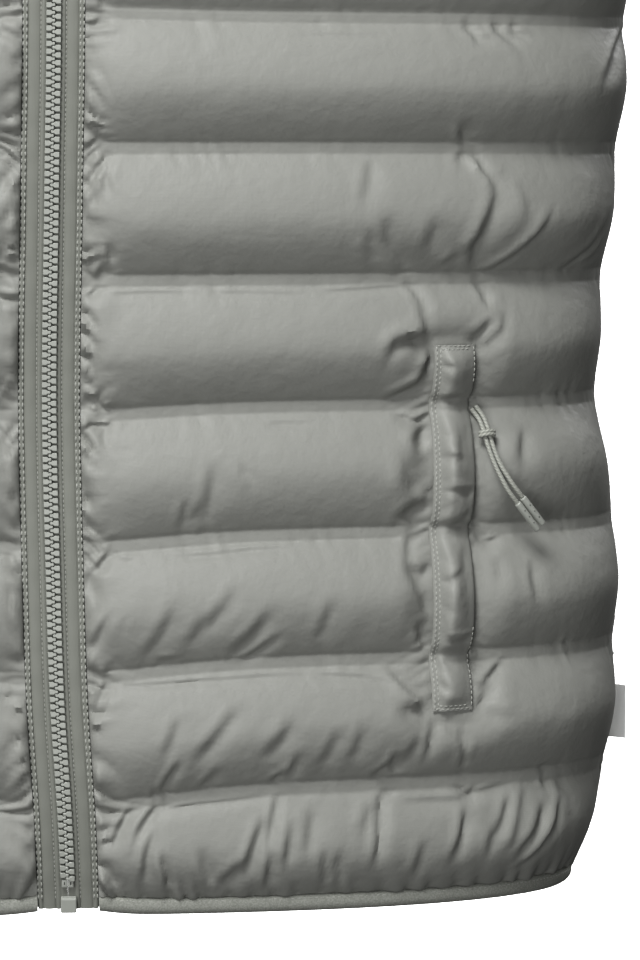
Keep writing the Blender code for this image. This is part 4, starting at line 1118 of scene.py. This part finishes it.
def make_armhole_binding(side):
    """The stretch binding round one armhole."""
    turns = np.linspace(0.0, 2 * math.pi, ARMHOLE_STEPS + 1)[:-1]
    reach = np.where(turns < math.pi, ARMHOLE_FRONT, ARMHOLE_BACK)
    outer, inner = [], []
    for share, lift, depth in ARMHOLE_SECTION:
        inset = SEAM_GAP * 1.5 + BINDING_WIDTH * share
        heights = ARMHOLE_MIDDLE - (ARMHOLE_HALF - inset) * np.cos(turns)
        arcs = (side_arc(heights) - (reach - inset) * np.sin(turns))[:, None]
        outer.append(raised(side, heights, arcs, np.full(arcs.shape, lift))[:, 0])
        inner.append(raised(side, heights, arcs, np.full(arcs.shape, -depth))[:, 0])
    name = "armhole_binding_" + SIDE_NAMES[side]
    made = wall(name + "_rolled", np.array(outer), np.array(inner), 1, material("binding"), looped=True)
    return place_piece(made, "binding", name)


def zip_line():
    """The zip's middle line from hem to collar: lengths along it, points and ways out of the cloth."""
    heights = np.linspace(TAPE_LOW, NECK_FRONT, ZIP_STEPS)
    points = cloth(LEFT, heights, arc_where(heights, PLACKET_HALF)[:, None])[:, 0] - [PLACKET_HALF, 0.0, 0.0]
    ways = outward(LEFT, heights, np.full((len(heights), 1), PLACKET_HALF))[:, 0]
    ways = unit(ways * [0.0, 1.0, 1.0])
    rises = np.linspace(ZIP_COLLAR_FROM, TAPE_TOP_RISE, ZIP_COLLAR_STEPS)
    lean = COLLAR_INSET + COLLAR_LEAN * rises * abs(points[-1, 1])
    tall = 2 * SEAM_GAP + COLLAR_HEIGHT * rises
    collar = np.stack([np.zeros(len(rises)), points[-1, 1] + lean, points[-1, 2] + tall], axis=-1)
    points = np.concatenate([points, collar])
    ways = np.concatenate([ways, np.broadcast_to([0.0, -1.0, 0.0], collar.shape)])
    return run_lengths(points), points, ways


def zip_places(at):
    """Points, ways out and ways up of the zip's middle line at these lengths along it."""
    lengths, points, ways = zip_line()
    ahead, behind = (at_lengths(at + step, lengths, points) for step in (ZIP_AHEAD, -ZIP_AHEAD))
    return at_lengths(at, lengths, points), unit(at_lengths(at, lengths, ways)), unit(ahead - behind)


def zip_length(level):
    """Length along the zip's line to a level of the frame."""
    lengths, points, _ = zip_line()
    return float(np.interp(level, points[:, 2], lengths))


def collar_level(rise):
    """Level of a rise on the collar beside the zip."""
    return zip_line()[1][ZIP_STEPS - 1, 2] + 2 * SEAM_GAP + COLLAR_HEIGHT * rise


def make_zip_tape(side):
    """One half of the zip's tape, folded along the teeth and topstitched."""
    at = np.arange(0.0, zip_length(collar_level(TAPE_TOP_RISE)), TAPE_STEP)
    where, out, _ = zip_places(at)
    across, lift = np.array(TAPE_SECTION).T
    under = np.interp(across, *np.array(TAPE_UNDER).T)
    wave = np.stack([ripple(at, TAPE_WAVE_LENGTH, 70 + side + k) for k in range(len(across))], axis=-1)
    lifts = lift + TAPE_WAVE * wave * (across > TAPE_SOFT_FROM) * (across < TAPE_SOFT_TO)
    level = where[:, None] + np.array([1.0, 0, 0]) * side * across[None, :, None]
    outer, inner = level + out[:, None] * lifts[..., None], level + out[:, None] * under[:, None]
    flat = np.stack(np.meshgrid(across, at), axis=-1)
    name = "zip_tape_" + SIDE_NAMES[side]
    made = wall(name + "_folded", outer, inner, 1, material("tape"), flat=flat)
    return place_piece(made, "tape", name)


def take_mesh(made):
    """Points and faces of an object, which is then removed."""
    points = np.array([v.co for v in made.data.vertices])
    faces = [list(p.vertices) for p in made.data.polygons]
    bpy.data.objects.remove(made)
    return points, faces


def copies(points, faces, origins, along, across, out):
    """Points and faces of copies of one small shape, each in its own place and turn."""
    placed = (
        origins[:, None]
        + points[None, :, 0:1] * along[:, None]
        + points[None, :, 1:2] * across[:, None]
        + points[None, :, 2:3] * out[:, None]
    )
    every = [[i + k * len(points) for i in f] for k in range(len(origins)) for f in faces]
    return placed.reshape(-1, 3), every


def merged(shapes):
    """Points and faces of several shapes as those of one."""
    all_points, all_faces, count = [], [], 0
    for points, faces in shapes:
        all_faces += [[i + count for i in f] for f in faces]
        all_points.append(points)
        count += len(points)
    return np.concatenate(all_points), all_faces


def one_tooth():
    """One moulded tooth, pointing along -X: a block, a neck and a head that locks into the other side."""
    made = add_block(TOOTH_SIZE, TOOTH_PLACE)
    edit_one(made, "FACE", lambda mesh: min(mesh.polygons, key=lambda p: p.center.x))
    for step, wide in TOOTH_HEAD:
        bpy.ops.mesh.extrude_region_move(TRANSFORM_OT_translate={"value": (-step, 0.0, 0.0)})
        bpy.ops.transform.resize(value=(1.0, wide, 1.0))
    bpy.ops.mesh.select_all(action="SELECT")
    bpy.ops.mesh.bevel(offset=TOOTH_BEVEL, segments=1, affect="EDGES")
    bpy.ops.object.mode_set(mode="OBJECT")
    return take_mesh(made)


def make_zip_teeth(settings):
    """The closed row of moulded teeth."""
    points, faces = one_tooth()
    first = zip_length(TEETH_LOW - BODY_LENGTH)
    last = zip_length(collar_level(SLIDER_RISE)) - SLIDER_TALL / 2 - TEETH_END_GAP
    rows = []
    for side, shift in ((LEFT, 0.0), (RIGHT, 0.5)):
        where, out, up = zip_places(np.arange(first + shift * settings.pitch, last, settings.pitch))
        along = np.broadcast_to([float(side), 0.0, 0.0], where.shape)
        rows.append(copies(points, faces, where + out * SEAM_GAP, along, up, out))
    made = add_mesh("zip_teeth", *merged(rows), material("moulded"), sharp=HARD_EDGE)
    return place_piece(made, "moulded", "zip_chain")


def make_zip_pins():
    """The two pins between the teeth and the box, each with a small hole coloured in painted shade."""
    pins = []
    low = zip_length(BOX_TOP - BODY_LENGTH)
    for side in (LEFT, RIGHT):
        where, out, up = (v[0] for v in zip_places(np.array([low + PIN_RISE])))
        spot = where + np.array([side * PIN_ACROSS, 0.0, 0.0]) + out * PIN_LIFT
        pin = add_block(PIN_SIZE, spot, (math.atan2(-up[1], up[2]), 0.0, 0.0))
        for kind in ("moulded", "painted_shade"):
            pin.data.materials.append(material(kind))
        bpy.ops.object.mode_set(mode="EDIT")
        bpy.ops.mesh.select_all(action="SELECT")
        bpy.ops.mesh.bevel(offset=PIN_BEVEL, segments=2, affect="EDGES")
        bpy.ops.object.mode_set(mode="OBJECT")
        way = Vector(out)
        edit_one(pin, "FACE", lambda mesh: max(mesh.polygons, key=lambda p: p.area * (p.normal @ way > 0.9)))
        bpy.ops.mesh.inset(thickness=PIN_RIM)
        bpy.ops.mesh.inset(thickness=0.0, depth=-PIN_HOLE)
        # The hole's floor takes the painted shade colour.
        pin.active_material_index = 1
        bpy.ops.object.material_slot_assign()
        bpy.ops.object.mode_set(mode="OBJECT")
        pins.append(pin)
    select_only(*pins)
    bpy.ops.object.join()
    pins[0].name = "zip_pins"
    bpy.ops.object.shade_smooth_by_angle(angle=math.radians(HARD_EDGE))
    return place_piece(pins[0], "moulded")


def one_stitch():
    """One stitch of thread, a metre long and wide, to be scaled."""
    bpy.ops.object.select_all(action="DESELECT")
    turn = (0.0, math.pi / 2, 0.0)
    bpy.ops.mesh.primitive_uv_sphere_add(segments=6, ring_count=4, radius=0.5, rotation=turn)
    bpy.ops.object.transform_apply(location=True, rotation=True, scale=True)
    return take_mesh(bpy.context.object)


def add_stitches(name, rows):
    """Rows of stitches as one piece. Columns: line of points, ways out, pitch, length, thickness."""
    points, faces = one_stitch()
    made = []
    for line, ways, pitch, length, thick in rows:
        lengths = run_lengths(line)
        at = np.arange(pitch / 2, lengths[-1], pitch)
        where = at_lengths(at, lengths, line)
        out = unit(at_lengths(at, lengths, ways))
        along = unit(at_lengths(at + pitch / 4, lengths, line) - where)
        across = unit(np.cross(out, along))
        made.append(copies(points, faces, where, along * length, across * thick, out * thick))
    return add_mesh(name, *merged(made), material("thread"), sharp=None)


def make_zip_stitches():
    """The zip's topstitching: a fine row beside each tape's fold, and two bold rows at its outer edge."""
    where, out, _ = zip_places(np.arange(0.004, zip_length(collar_level(TAPE_TOP_RISE)), 0.001))
    rows = []
    for side in (LEFT, RIGHT):
        for across, lift, *stitch in TAPE_STITCHES:
            rows.append((where + np.array([side * across, 0, 0]) + out * lift, out, *stitch))
    made = add_stitches("zip_stitches", rows)
    return place_piece(made, "tape")


def welt_rise(heights, shares):
    """Rise of a welt's face at shares of its width: its crown and the filling of each channel."""
    ends = np.minimum(heights - WELT_LOW, WELT_HIGH - heights)[:, None]
    channel, _ = baffle_shares(heights)
    filled = swell(WELT_FILL * puff_profile(channel)[:, None], heights) * smooth_step((shares - 0.10) / 0.30)
    crown = np.interp(shares, WELT_SHARES, WELT_CROWN) * (0.45 + 0.55 * smooth_step(ends / 0.006))
    filled = filled * (1.0 - 0.75 * smooth_step((shares - 0.35) / 0.65))
    return crown + filled * smooth_step((ends - 0.002) / 0.010)


def make_pocket_welt(side):
    """The stitched strip over a pocket's zip: padded a little, with a turned free edge."""
    heights = np.arange(WELT_LOW, WELT_HIGH + 1e-6, WELT_STEP)
    inner_arc, outer_arc = welt_arcs(heights)
    shares = np.array(WELT_SHARES)
    arcs = inner_arc[:, None] + shares * (outer_arc - inner_arc)[:, None]
    lifts = front_lift(heights, arcs)
    ends = np.minimum(heights - WELT_LOW, WELT_HIGH - heights)[:, None]
    tall = np.broadcast_to(heights[:, None], arcs.shape)
    slant = tall + WELT_SLANT * (arcs - inner_arc[:, None])
    wave = WELT_WAVE * (pleats(slant, WELT_PITCH, 9 + side) - 0.5) * np.exp(-((shares - 0.2) / 0.16) ** 2)
    across = np.abs(cloth(side, heights, arcs)[..., 0])
    kept = smooth_step((shares - 0.12) / 0.10) * smooth_step((0.97 - shares) / 0.12)
    kept = kept * smooth_step((ends - 0.003) / 0.004)
    wave = (wave + crease_field(across, tall, WELT_CREASES)) * kept
    rise = np.maximum(welt_rise(heights, shares) + wave, WELT_CROWN[0])
    outer = raised(side, heights, arcs, lifts + SEAM_GAP + rise)
    inner = raised(side, heights, arcs, lifts + SEAM_GAP)
    flat = finer_both(np.stack([arcs, tall], axis=-1))
    name = "pocket_welt_" + SIDE_NAMES[side]
    made = wall(name + "_padded", finer_both(outer), finer_both(inner), 2, material("shell"), flat=flat)
    place_piece(made, "shell", name)
    make_welt_stitches(side, name + "_stitches")
    return made


def make_welt_stitches(side, name):
    """A welt's two rows of stitches, along its inner edge and both ends, with short runs at its free edge."""
    rows = []
    for inset in WELT_INSETS:
        x_in, x_out = WELT_INNER + inset, WELT_OUTER - inset
        top, bottom = WELT_HIGH - inset, WELT_LOW + inset
        # Columns: distances from the centre plane at both ends, heights at both ends, points.
        runs = [
            (x_in, x_in, top, bottom, 120),
            (x_in, x_out, top, top, 20),
            (x_in, x_out, bottom, bottom, 20),
        ]
        if inset == WELT_INSETS[0]:
            x_free = x_out + FREE_EDGE_SHIFT
            runs.append((x_free, x_free, top, WELT_HIGH - FREE_EDGE_TOP, 30))
            runs.append((x_free, x_free, WELT_LOW + FREE_EDGE_BOTTOM, bottom, 40))
        for x_from, x_to, z_from, z_to, count in runs:
            across, high = np.linspace(x_from, x_to, count), np.linspace(z_from, z_to, count)
            places = arc_where(high, across)[:, None]
            start, end = (edge[:, None] for edge in welt_arcs(high))
            share = (places - start) / (end - start)
            lift = front_lift(high, places) + SEAM_GAP + welt_rise(high, share) + STITCH_LIFT
            line = raised(side, high, places, lift)[:, 0]
            rows.append((line, outward(side, high, places)[:, 0], *WELT_STITCH))
    return place_piece(add_stitches(name, rows), "cord")


def cord_line(side):
    """Points and outward directions of a pocket's doubled cord, as it lies over the swell of the panel."""
    route = [(i, *place) for i, place in enumerate(CORD_ROUTE)]
    line, ways, fullest = [], [], 0.0
    for share in np.linspace(0.0, 1.0, CORD_POINTS):
        _, across, height = spline_rows(route, share * (len(route) - 1))[0]
        at = np.array([height])
        clear = CORD_EXIT_LIFT + (CORD_KNOT_LIFT - CORD_EXIT_LIFT) * smooth_step(share / KNOT_AT)
        base, point = across, np.array([across, 0.0, 0.0])
        for _ in range(CORD_FITS):
            base += across - abs(point[0])
            arc = arc_where(at, base)[:, None]
            lift = front_lift(at, arc)[0, 0]
            hanging = max(lift, lift + (fullest - lift) * CORD_DRAPE)
            point = raised(side, at, arc, np.array([[hanging + clear]]))[0, 0]
        fullest = max(fullest, lift)
        line.append(point)
        ways.append(outward(side, at, arc)[0, 0])
    return np.array(line), np.array(ways)


def tube(name, points, radii, kind, sides=12):
    """A round tube along points with closed ends, with its flat places as UVs."""
    points = np.asarray(points, float)
    ahead = unit(np.gradient(points, axis=0))
    across = np.empty_like(points)
    hint = np.array([0.0, -1.0, 0.3])
    for i, way in enumerate(ahead):
        hint = hint - way * (hint @ way)
        hint = hint / np.linalg.norm(hint)
        across[i] = hint
    other = np.cross(ahead, across)
    turns = 2 * math.pi * np.arange(sides) / sides
    radii = np.broadcast_to(radii, len(points))
    ring = across[:, None] * np.cos(turns)[None, :, None] + other[:, None] * np.sin(turns)[None, :, None]
    grid = points[:, None] + ring * radii[:, None, None]
    faces = grid_quads(len(points), sides, looped=True).tolist()
    faces += [list(range(sides))[::-1], list(range((len(points) - 1) * sides, len(points) * sides))]
    flat = np.stack(np.meshgrid(turns * radii.mean(), run_lengths(points)), axis=-1)
    return add_mesh(name, grid, faces, material(kind), flat)


def make_pocket_pull(side):
    """A pocket zip's pull: a doubled braided cord, its knot and a moulded tip on each end."""
    line, ways = cord_line(side)
    last = CORD_POINTS - 1
    ahead = unit(np.array([line[min(i + 1, last)] - line[max(i - 1, 0)] for i in range(CORD_POINTS)]))
    across = unit(np.cross(ahead, ways)) * side
    name = SIDE_NAMES[side]
    at = round(KNOT_AT * last)
    out = np.cross(across[at], ahead[at])
    wide = CORD_APART + CORD_DIAMETER / 2 + SEAM_GAP + KNOT_WIRE
    deep = CORD_DIAMETER / 2 + SEAM_GAP + KNOT_WIRE
    turns = math.pi * np.linspace(*KNOT_TURNS, KNOT_POINTS)
    climb = (np.linspace(-1.0, 1.0, KNOT_POINTS) * KNOT_CLIMB)[:, None]
    coil = line[at] + across[at] * (wide * np.cos(turns))[:, None] + out * (deep * np.sin(turns))[:, None]
    coil = coil + ahead[at] * climb + across[at] * KNOT_SKEW * climb
    knot = tube(f"pocket_knot_{name}_tied", coil, KNOT_WIRE, "cord")
    place_piece(knot, "cord", f"pocket_knot_{name}")
    for letter, sign in (("a", -1), ("b", 1)):
        spread = CORD_APART + (TIP_SPREAD - CORD_APART) * smooth_step(2 * np.arange(CORD_POINTS) / last - 1)
        strand = finer(finer(line + across * (sign * spread)[:, None]))
        braid = tube(f"pocket_cord_{name}_{letter}_braided", strand, CORD_DIAMETER / 2, "cord")
        place_piece(braid, "cord", f"pocket_cord_{name}_{letter}")
        tip = make_cord_tip(f"pocket_tip_{name}_{letter}", strand[-1], ahead[-1], ways[-1])


def make_cord_tip(name, end, ahead, way):
    """A moulded tip with three crimp marks along it, as small dots coloured in painted shade."""
    shares, shape = np.array(TIP_OUTLINE).T
    start = end + ahead * SEAM_GAP
    rod = start + ahead * (TIP_LENGTH * shares)[:, None]
    made = tube(name + "_moulded", rod, TIP_DIAMETER / 2 * shape, "moulded", sides=24)
    out = unit(way - ahead * (way @ ahead))
    marks = []
    for share in TIP_MARKS:
        bpy.ops.object.select_all(action="DESELECT")
        spot = start + ahead * TIP_LENGTH * share + out * (TIP_DIAMETER / 2 - TIP_MARK_SUNK)
        bpy.ops.mesh.primitive_uv_sphere_add(segments=10, ring_count=6, radius=TIP_MARK_RADIUS, location=spot)
        bpy.ops.object.transform_apply(location=True, rotation=True, scale=True)
        mark = bpy.context.object
        # Each crimp mark is a dot coloured in painted shade.
        mark.data.materials.append(material("painted_shade"))
        marks.append(mark)
    select_only(made, *marks)
    bpy.ops.object.join()
    return place_piece(made, "moulded", name)


def make_hem_stitches():
    """The small stitches along the top of the hem binding."""
    at = np.array([HEM_TOP - HEM_STITCH_DROP])
    rows = []
    for side in (LEFT, RIGHT):
        for arcs in hem_arcs(at, HEM_STITCH_INSET, HEM_STITCH_POINTS):
            line = raised(side, at, arcs[None, :], np.full((1, len(arcs)), HEM_STITCH_LIFT))[0]
            rows.append((line, outward(side, at, arcs[None, :])[0], *HEM_STITCH))
    return place_piece(add_stitches("hem_stitches", rows), "binding")


def make_side_label():
    """The small blank label that stands out of the left side seam, a little curled."""
    heights = np.linspace(LABEL_LOW, LABEL_HIGH, LABEL_ROWS)
    arcs = side_arc(heights)[:, None]
    lifts = puff(heights, np.zeros((len(heights), 1)))
    root = raised(LEFT, heights, arcs, lifts + 2 * SEAM_GAP)[:, 0]
    shares = np.linspace(0.0, 1.0, LABEL_COLUMNS)
    reach = (LABEL_EDGE_X + LABEL_REACH - root[:, 0])[:, None] * shares
    uneven = 0.8 + 0.2 * np.sin(np.linspace(0.3, 2.6, LABEL_ROWS))
    curl = -LABEL_CURL * shares[None, :] ** 2 * uneven[:, None]
    half = LABEL_THICKNESS / 2 * np.array([0.0, 1.0, 0.0])
    sheet = np.stack([root[:, :1] + reach, root[:, 1:2] + curl, root[:, 2:] + 0 * reach], axis=-1)
    flat = np.stack([reach, np.broadcast_to(heights[:, None], reach.shape)], axis=-1)
    made = wall("side_label_blank", sheet - half, sheet + half, 1, material("label"), flat=flat)
    return place_piece(made, "label", "side_label")


class GarmentPanelSettings(bpy.types.PropertyGroup):
    """Sizes of the quilted panels' finished look."""

    grid: bpy.props.FloatProperty(
        name="Grid", description="Size of the cloth's grid on the left front", default=0.0028, unit="LENGTH"
    )
    fill: bpy.props.FloatProperty(
        name="Fill", description="Share of the full swell that the cloth starts from", default=0.85,
        subtype="FACTOR",
    )
    before: bpy.props.FloatProperty(
        name="Before", description="Share of the folds that is there before the cloth settles", default=0.3,
        subtype="FACTOR",
    )
    sag: bpy.props.FloatProperty(
        name="Sag", description="How far a channel's filling hangs over the band below it", default=0.0012,
        unit="LENGTH",
    )
    pressure: bpy.props.FloatProperty(
        name="Pressure", description="Push of the filling on the cloth", default=1.6
    )
    frames: bpy.props.IntProperty(name="Frames", description="Steps of the cloth simulation", default=14)
    cap: bpy.props.FloatProperty(
        name="Cap", description="Furthest that a point of the cloth may move", default=0.004, unit="LENGTH"
    )


class GarmentZipSettings(bpy.types.PropertyGroup):
    """Sizes of the zip's finished look."""

    pitch: bpy.props.FloatProperty(
        name="Pitch", description="Distance between the teeth of one tape", default=0.0030, unit="LENGTH"
    )


class GarmentStageSettings(bpy.types.PropertyGroup):
    """Camera of the photograph."""

    eye: bpy.props.FloatVectorProperty(
        name="Eye", description="Place of the camera", default=(0.0, -1.855, -0.373), subtype="TRANSLATION"
    )
    target: bpy.props.FloatVectorProperty(
        name="Target", description="Point in the middle of the picture", default=(0.1070, -0.105, -0.5085),
        subtype="TRANSLATION",
    )
    lens: bpy.props.FloatProperty(
        name="Lens", description="Focal length on a 36 mm frame", default=165.2, unit="CAMERA"
    )


class GARMENT_OT_quilted_panels(bpy.types.Operator):
    """Builds the quilted fronts, the back and the collar"""

    bl_idname = "garment.quilted_panels"
    bl_label = "Quilted panels"

    def execute(self, context):
        settings = context.scene.garment_panels
        make_front(LEFT, settings)
        make_front(RIGHT, settings)
        make_back(settings)
        make_collar()
        return {"FINISHED"}


class GARMENT_OT_bindings(bpy.types.Operator):
    """Builds the hem and armhole bindings, with the hem's stitches"""

    bl_idname = "garment.bindings"
    bl_label = "Bindings"

    def execute(self, context):
        make_hem_binding()
        make_hem_stitches()
        for side in (LEFT, RIGHT):
            make_armhole_binding(side)
        return {"FINISHED"}


class GARMENT_OT_zip(bpy.types.Operator):
    """Builds the zip's tapes, teeth, pins and topstitching, and finishes its hard pieces"""

    bl_idname = "garment.zip"
    bl_label = "Zip"

    def execute(self, context):
        for side in (LEFT, RIGHT):
            make_zip_tape(side)
        make_zip_teeth(context.scene.garment_zip)
        make_zip_pins()
        make_zip_stitches()
        for name in ("zip_box", "zip_slider", "zip_pull"):
            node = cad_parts[name]
            node.data.materials.clear()
            node.data.materials.append(material("moulded"))
        return {"FINISHED"}


class GARMENT_OT_pockets(bpy.types.Operator):
    """Builds the pockets' welts and corded pulls"""

    bl_idname = "garment.pockets"
    bl_label = "Pockets"

    def execute(self, context):
        for side in (LEFT, RIGHT):
            make_pocket_welt(side)
            make_pocket_pull(side)
        return {"FINISHED"}


class GARMENT_OT_side_label(bpy.types.Operator):
    """Builds the blank label in the left side seam"""

    bl_idname = "garment.side_label"
    bl_label = "Side label"

    def execute(self, context):
        make_side_label()
        return {"FINISHED"}


def far_edge(mesh):
    """The edge of a mesh that lies furthest back."""
    return max(mesh.edges, key=lambda e: sum(mesh.vertices[v].co.y for v in e.vertices))


def aim(made, place, target):
    """Puts a light or camera in its place, turned to a point, and into the scene."""
    made.location = place
    made.rotation_euler = (Vector(target) - Vector(place)).to_track_quat("-Z", "Y").to_euler()
    bpy.context.scene.collection.objects.link(made)


def add_light(name, place, target, size, power):
    """A soft square light aimed at a point."""
    lamp = bpy.data.lights.new(name, "AREA")
    lamp.size = size
    lamp.energy = power
    made = bpy.data.objects.new(name, lamp)
    made.visible_camera = False
    aim(made, place, target)


class GARMENT_OT_stage(bpy.types.Operator):
    """Sets the floor, light and camera of the photograph"""

    bl_idname = "garment.stage"
    bl_label = "Stage"

    def execute(self, context):
        settings = context.scene.garment_stage
        scene = context.scene
        bpy.ops.object.select_all(action="DESELECT")
        bpy.ops.mesh.primitive_plane_add(size=1.0, location=FLOOR_PLACE)
        floor = context.object
        floor.name = "floor"
        floor.scale = FLOOR_SIZE
        bpy.ops.object.transform_apply(location=True, rotation=True, scale=True)
        edit_one(floor, "EDGE", far_edge)
        bpy.ops.mesh.extrude_region_move(TRANSFORM_OT_translate={"value": (0.0, 0.0, BACKDROP_HEIGHT)})
        bpy.ops.object.mode_set(mode="OBJECT")
        floor.data.materials.append(material("floor"))
        floor.visible_diffuse = floor.visible_glossy = False
        for light in LIGHTS:
            add_light(*light)
        scene.world = bpy.data.worlds.new("studio")
        scene.world.use_nodes = True
        background = scene.world.node_tree.nodes["Background"]
        background.inputs["Color"].default_value = (1.0, 1.0, 1.0, 1.0)
        background.inputs["Strength"].default_value = WORLD_LIGHT
        lens = bpy.data.cameras.new("camera")
        lens.lens = settings.lens
        lens.sensor_width = FRAME_WIDTH_MM
        lens.dof.use_dof = False
        scene.camera = bpy.data.objects.new("camera", lens)
        aim(scene.camera, settings.eye, settings.target)
        scene.render.resolution_x, scene.render.resolution_y = PICTURE_SIZE
        scene.view_settings.view_transform = "Standard"
        return {"FINISHED"}


class GARMENT_PT_sidebar(bpy.types.Panel):
    """The garment's settings and steps"""

    bl_label = "Quilted body warmer"
    bl_idname = "GARMENT_PT_sidebar"
    bl_space_type = "VIEW_3D"
    bl_region_type = "UI"
    bl_category = "Garment"

    def draw(self, context):
        for group in GROUPS:
            box = self.layout.box()
            for name in GROUPS[group].__annotations__:
                box.prop(getattr(context.scene, group), name)
        for step in STEPS:
            self.layout.operator(step.bl_idname)


GROUPS = {
    "garment_panels": GarmentPanelSettings,
    "garment_zip": GarmentZipSettings,
    "garment_stage": GarmentStageSettings,
}
STEPS = (
    GARMENT_OT_quilted_panels,
    GARMENT_OT_bindings,
    GARMENT_OT_zip,
    GARMENT_OT_pockets,
    GARMENT_OT_side_label,
    GARMENT_OT_stage,
)


def register():
    for group in GROUPS.values():
        bpy.utils.register_class(group)
    for name, group in GROUPS.items():
        setattr(bpy.types.Scene, name, bpy.props.PointerProperty(type=group))
    for step in (*STEPS, GARMENT_PT_sidebar):
        bpy.utils.register_class(step)


def unregister():
    for step in (GARMENT_PT_sidebar, *STEPS[::-1]):
        bpy.utils.unregister_class(step)
    for name, group in GROUPS.items():
        delattr(bpy.types.Scene, name)
        bpy.utils.unregister_class(group)


def main():
    register()
    bpy.ops.garment.quilted_panels()
    bpy.ops.garment.bindings()
    bpy.ops.garment.zip()
    bpy.ops.garment.pockets()
    bpy.ops.garment.side_label()
    bpy.ops.garment.stage()


if __name__ == "__main__":
    main()
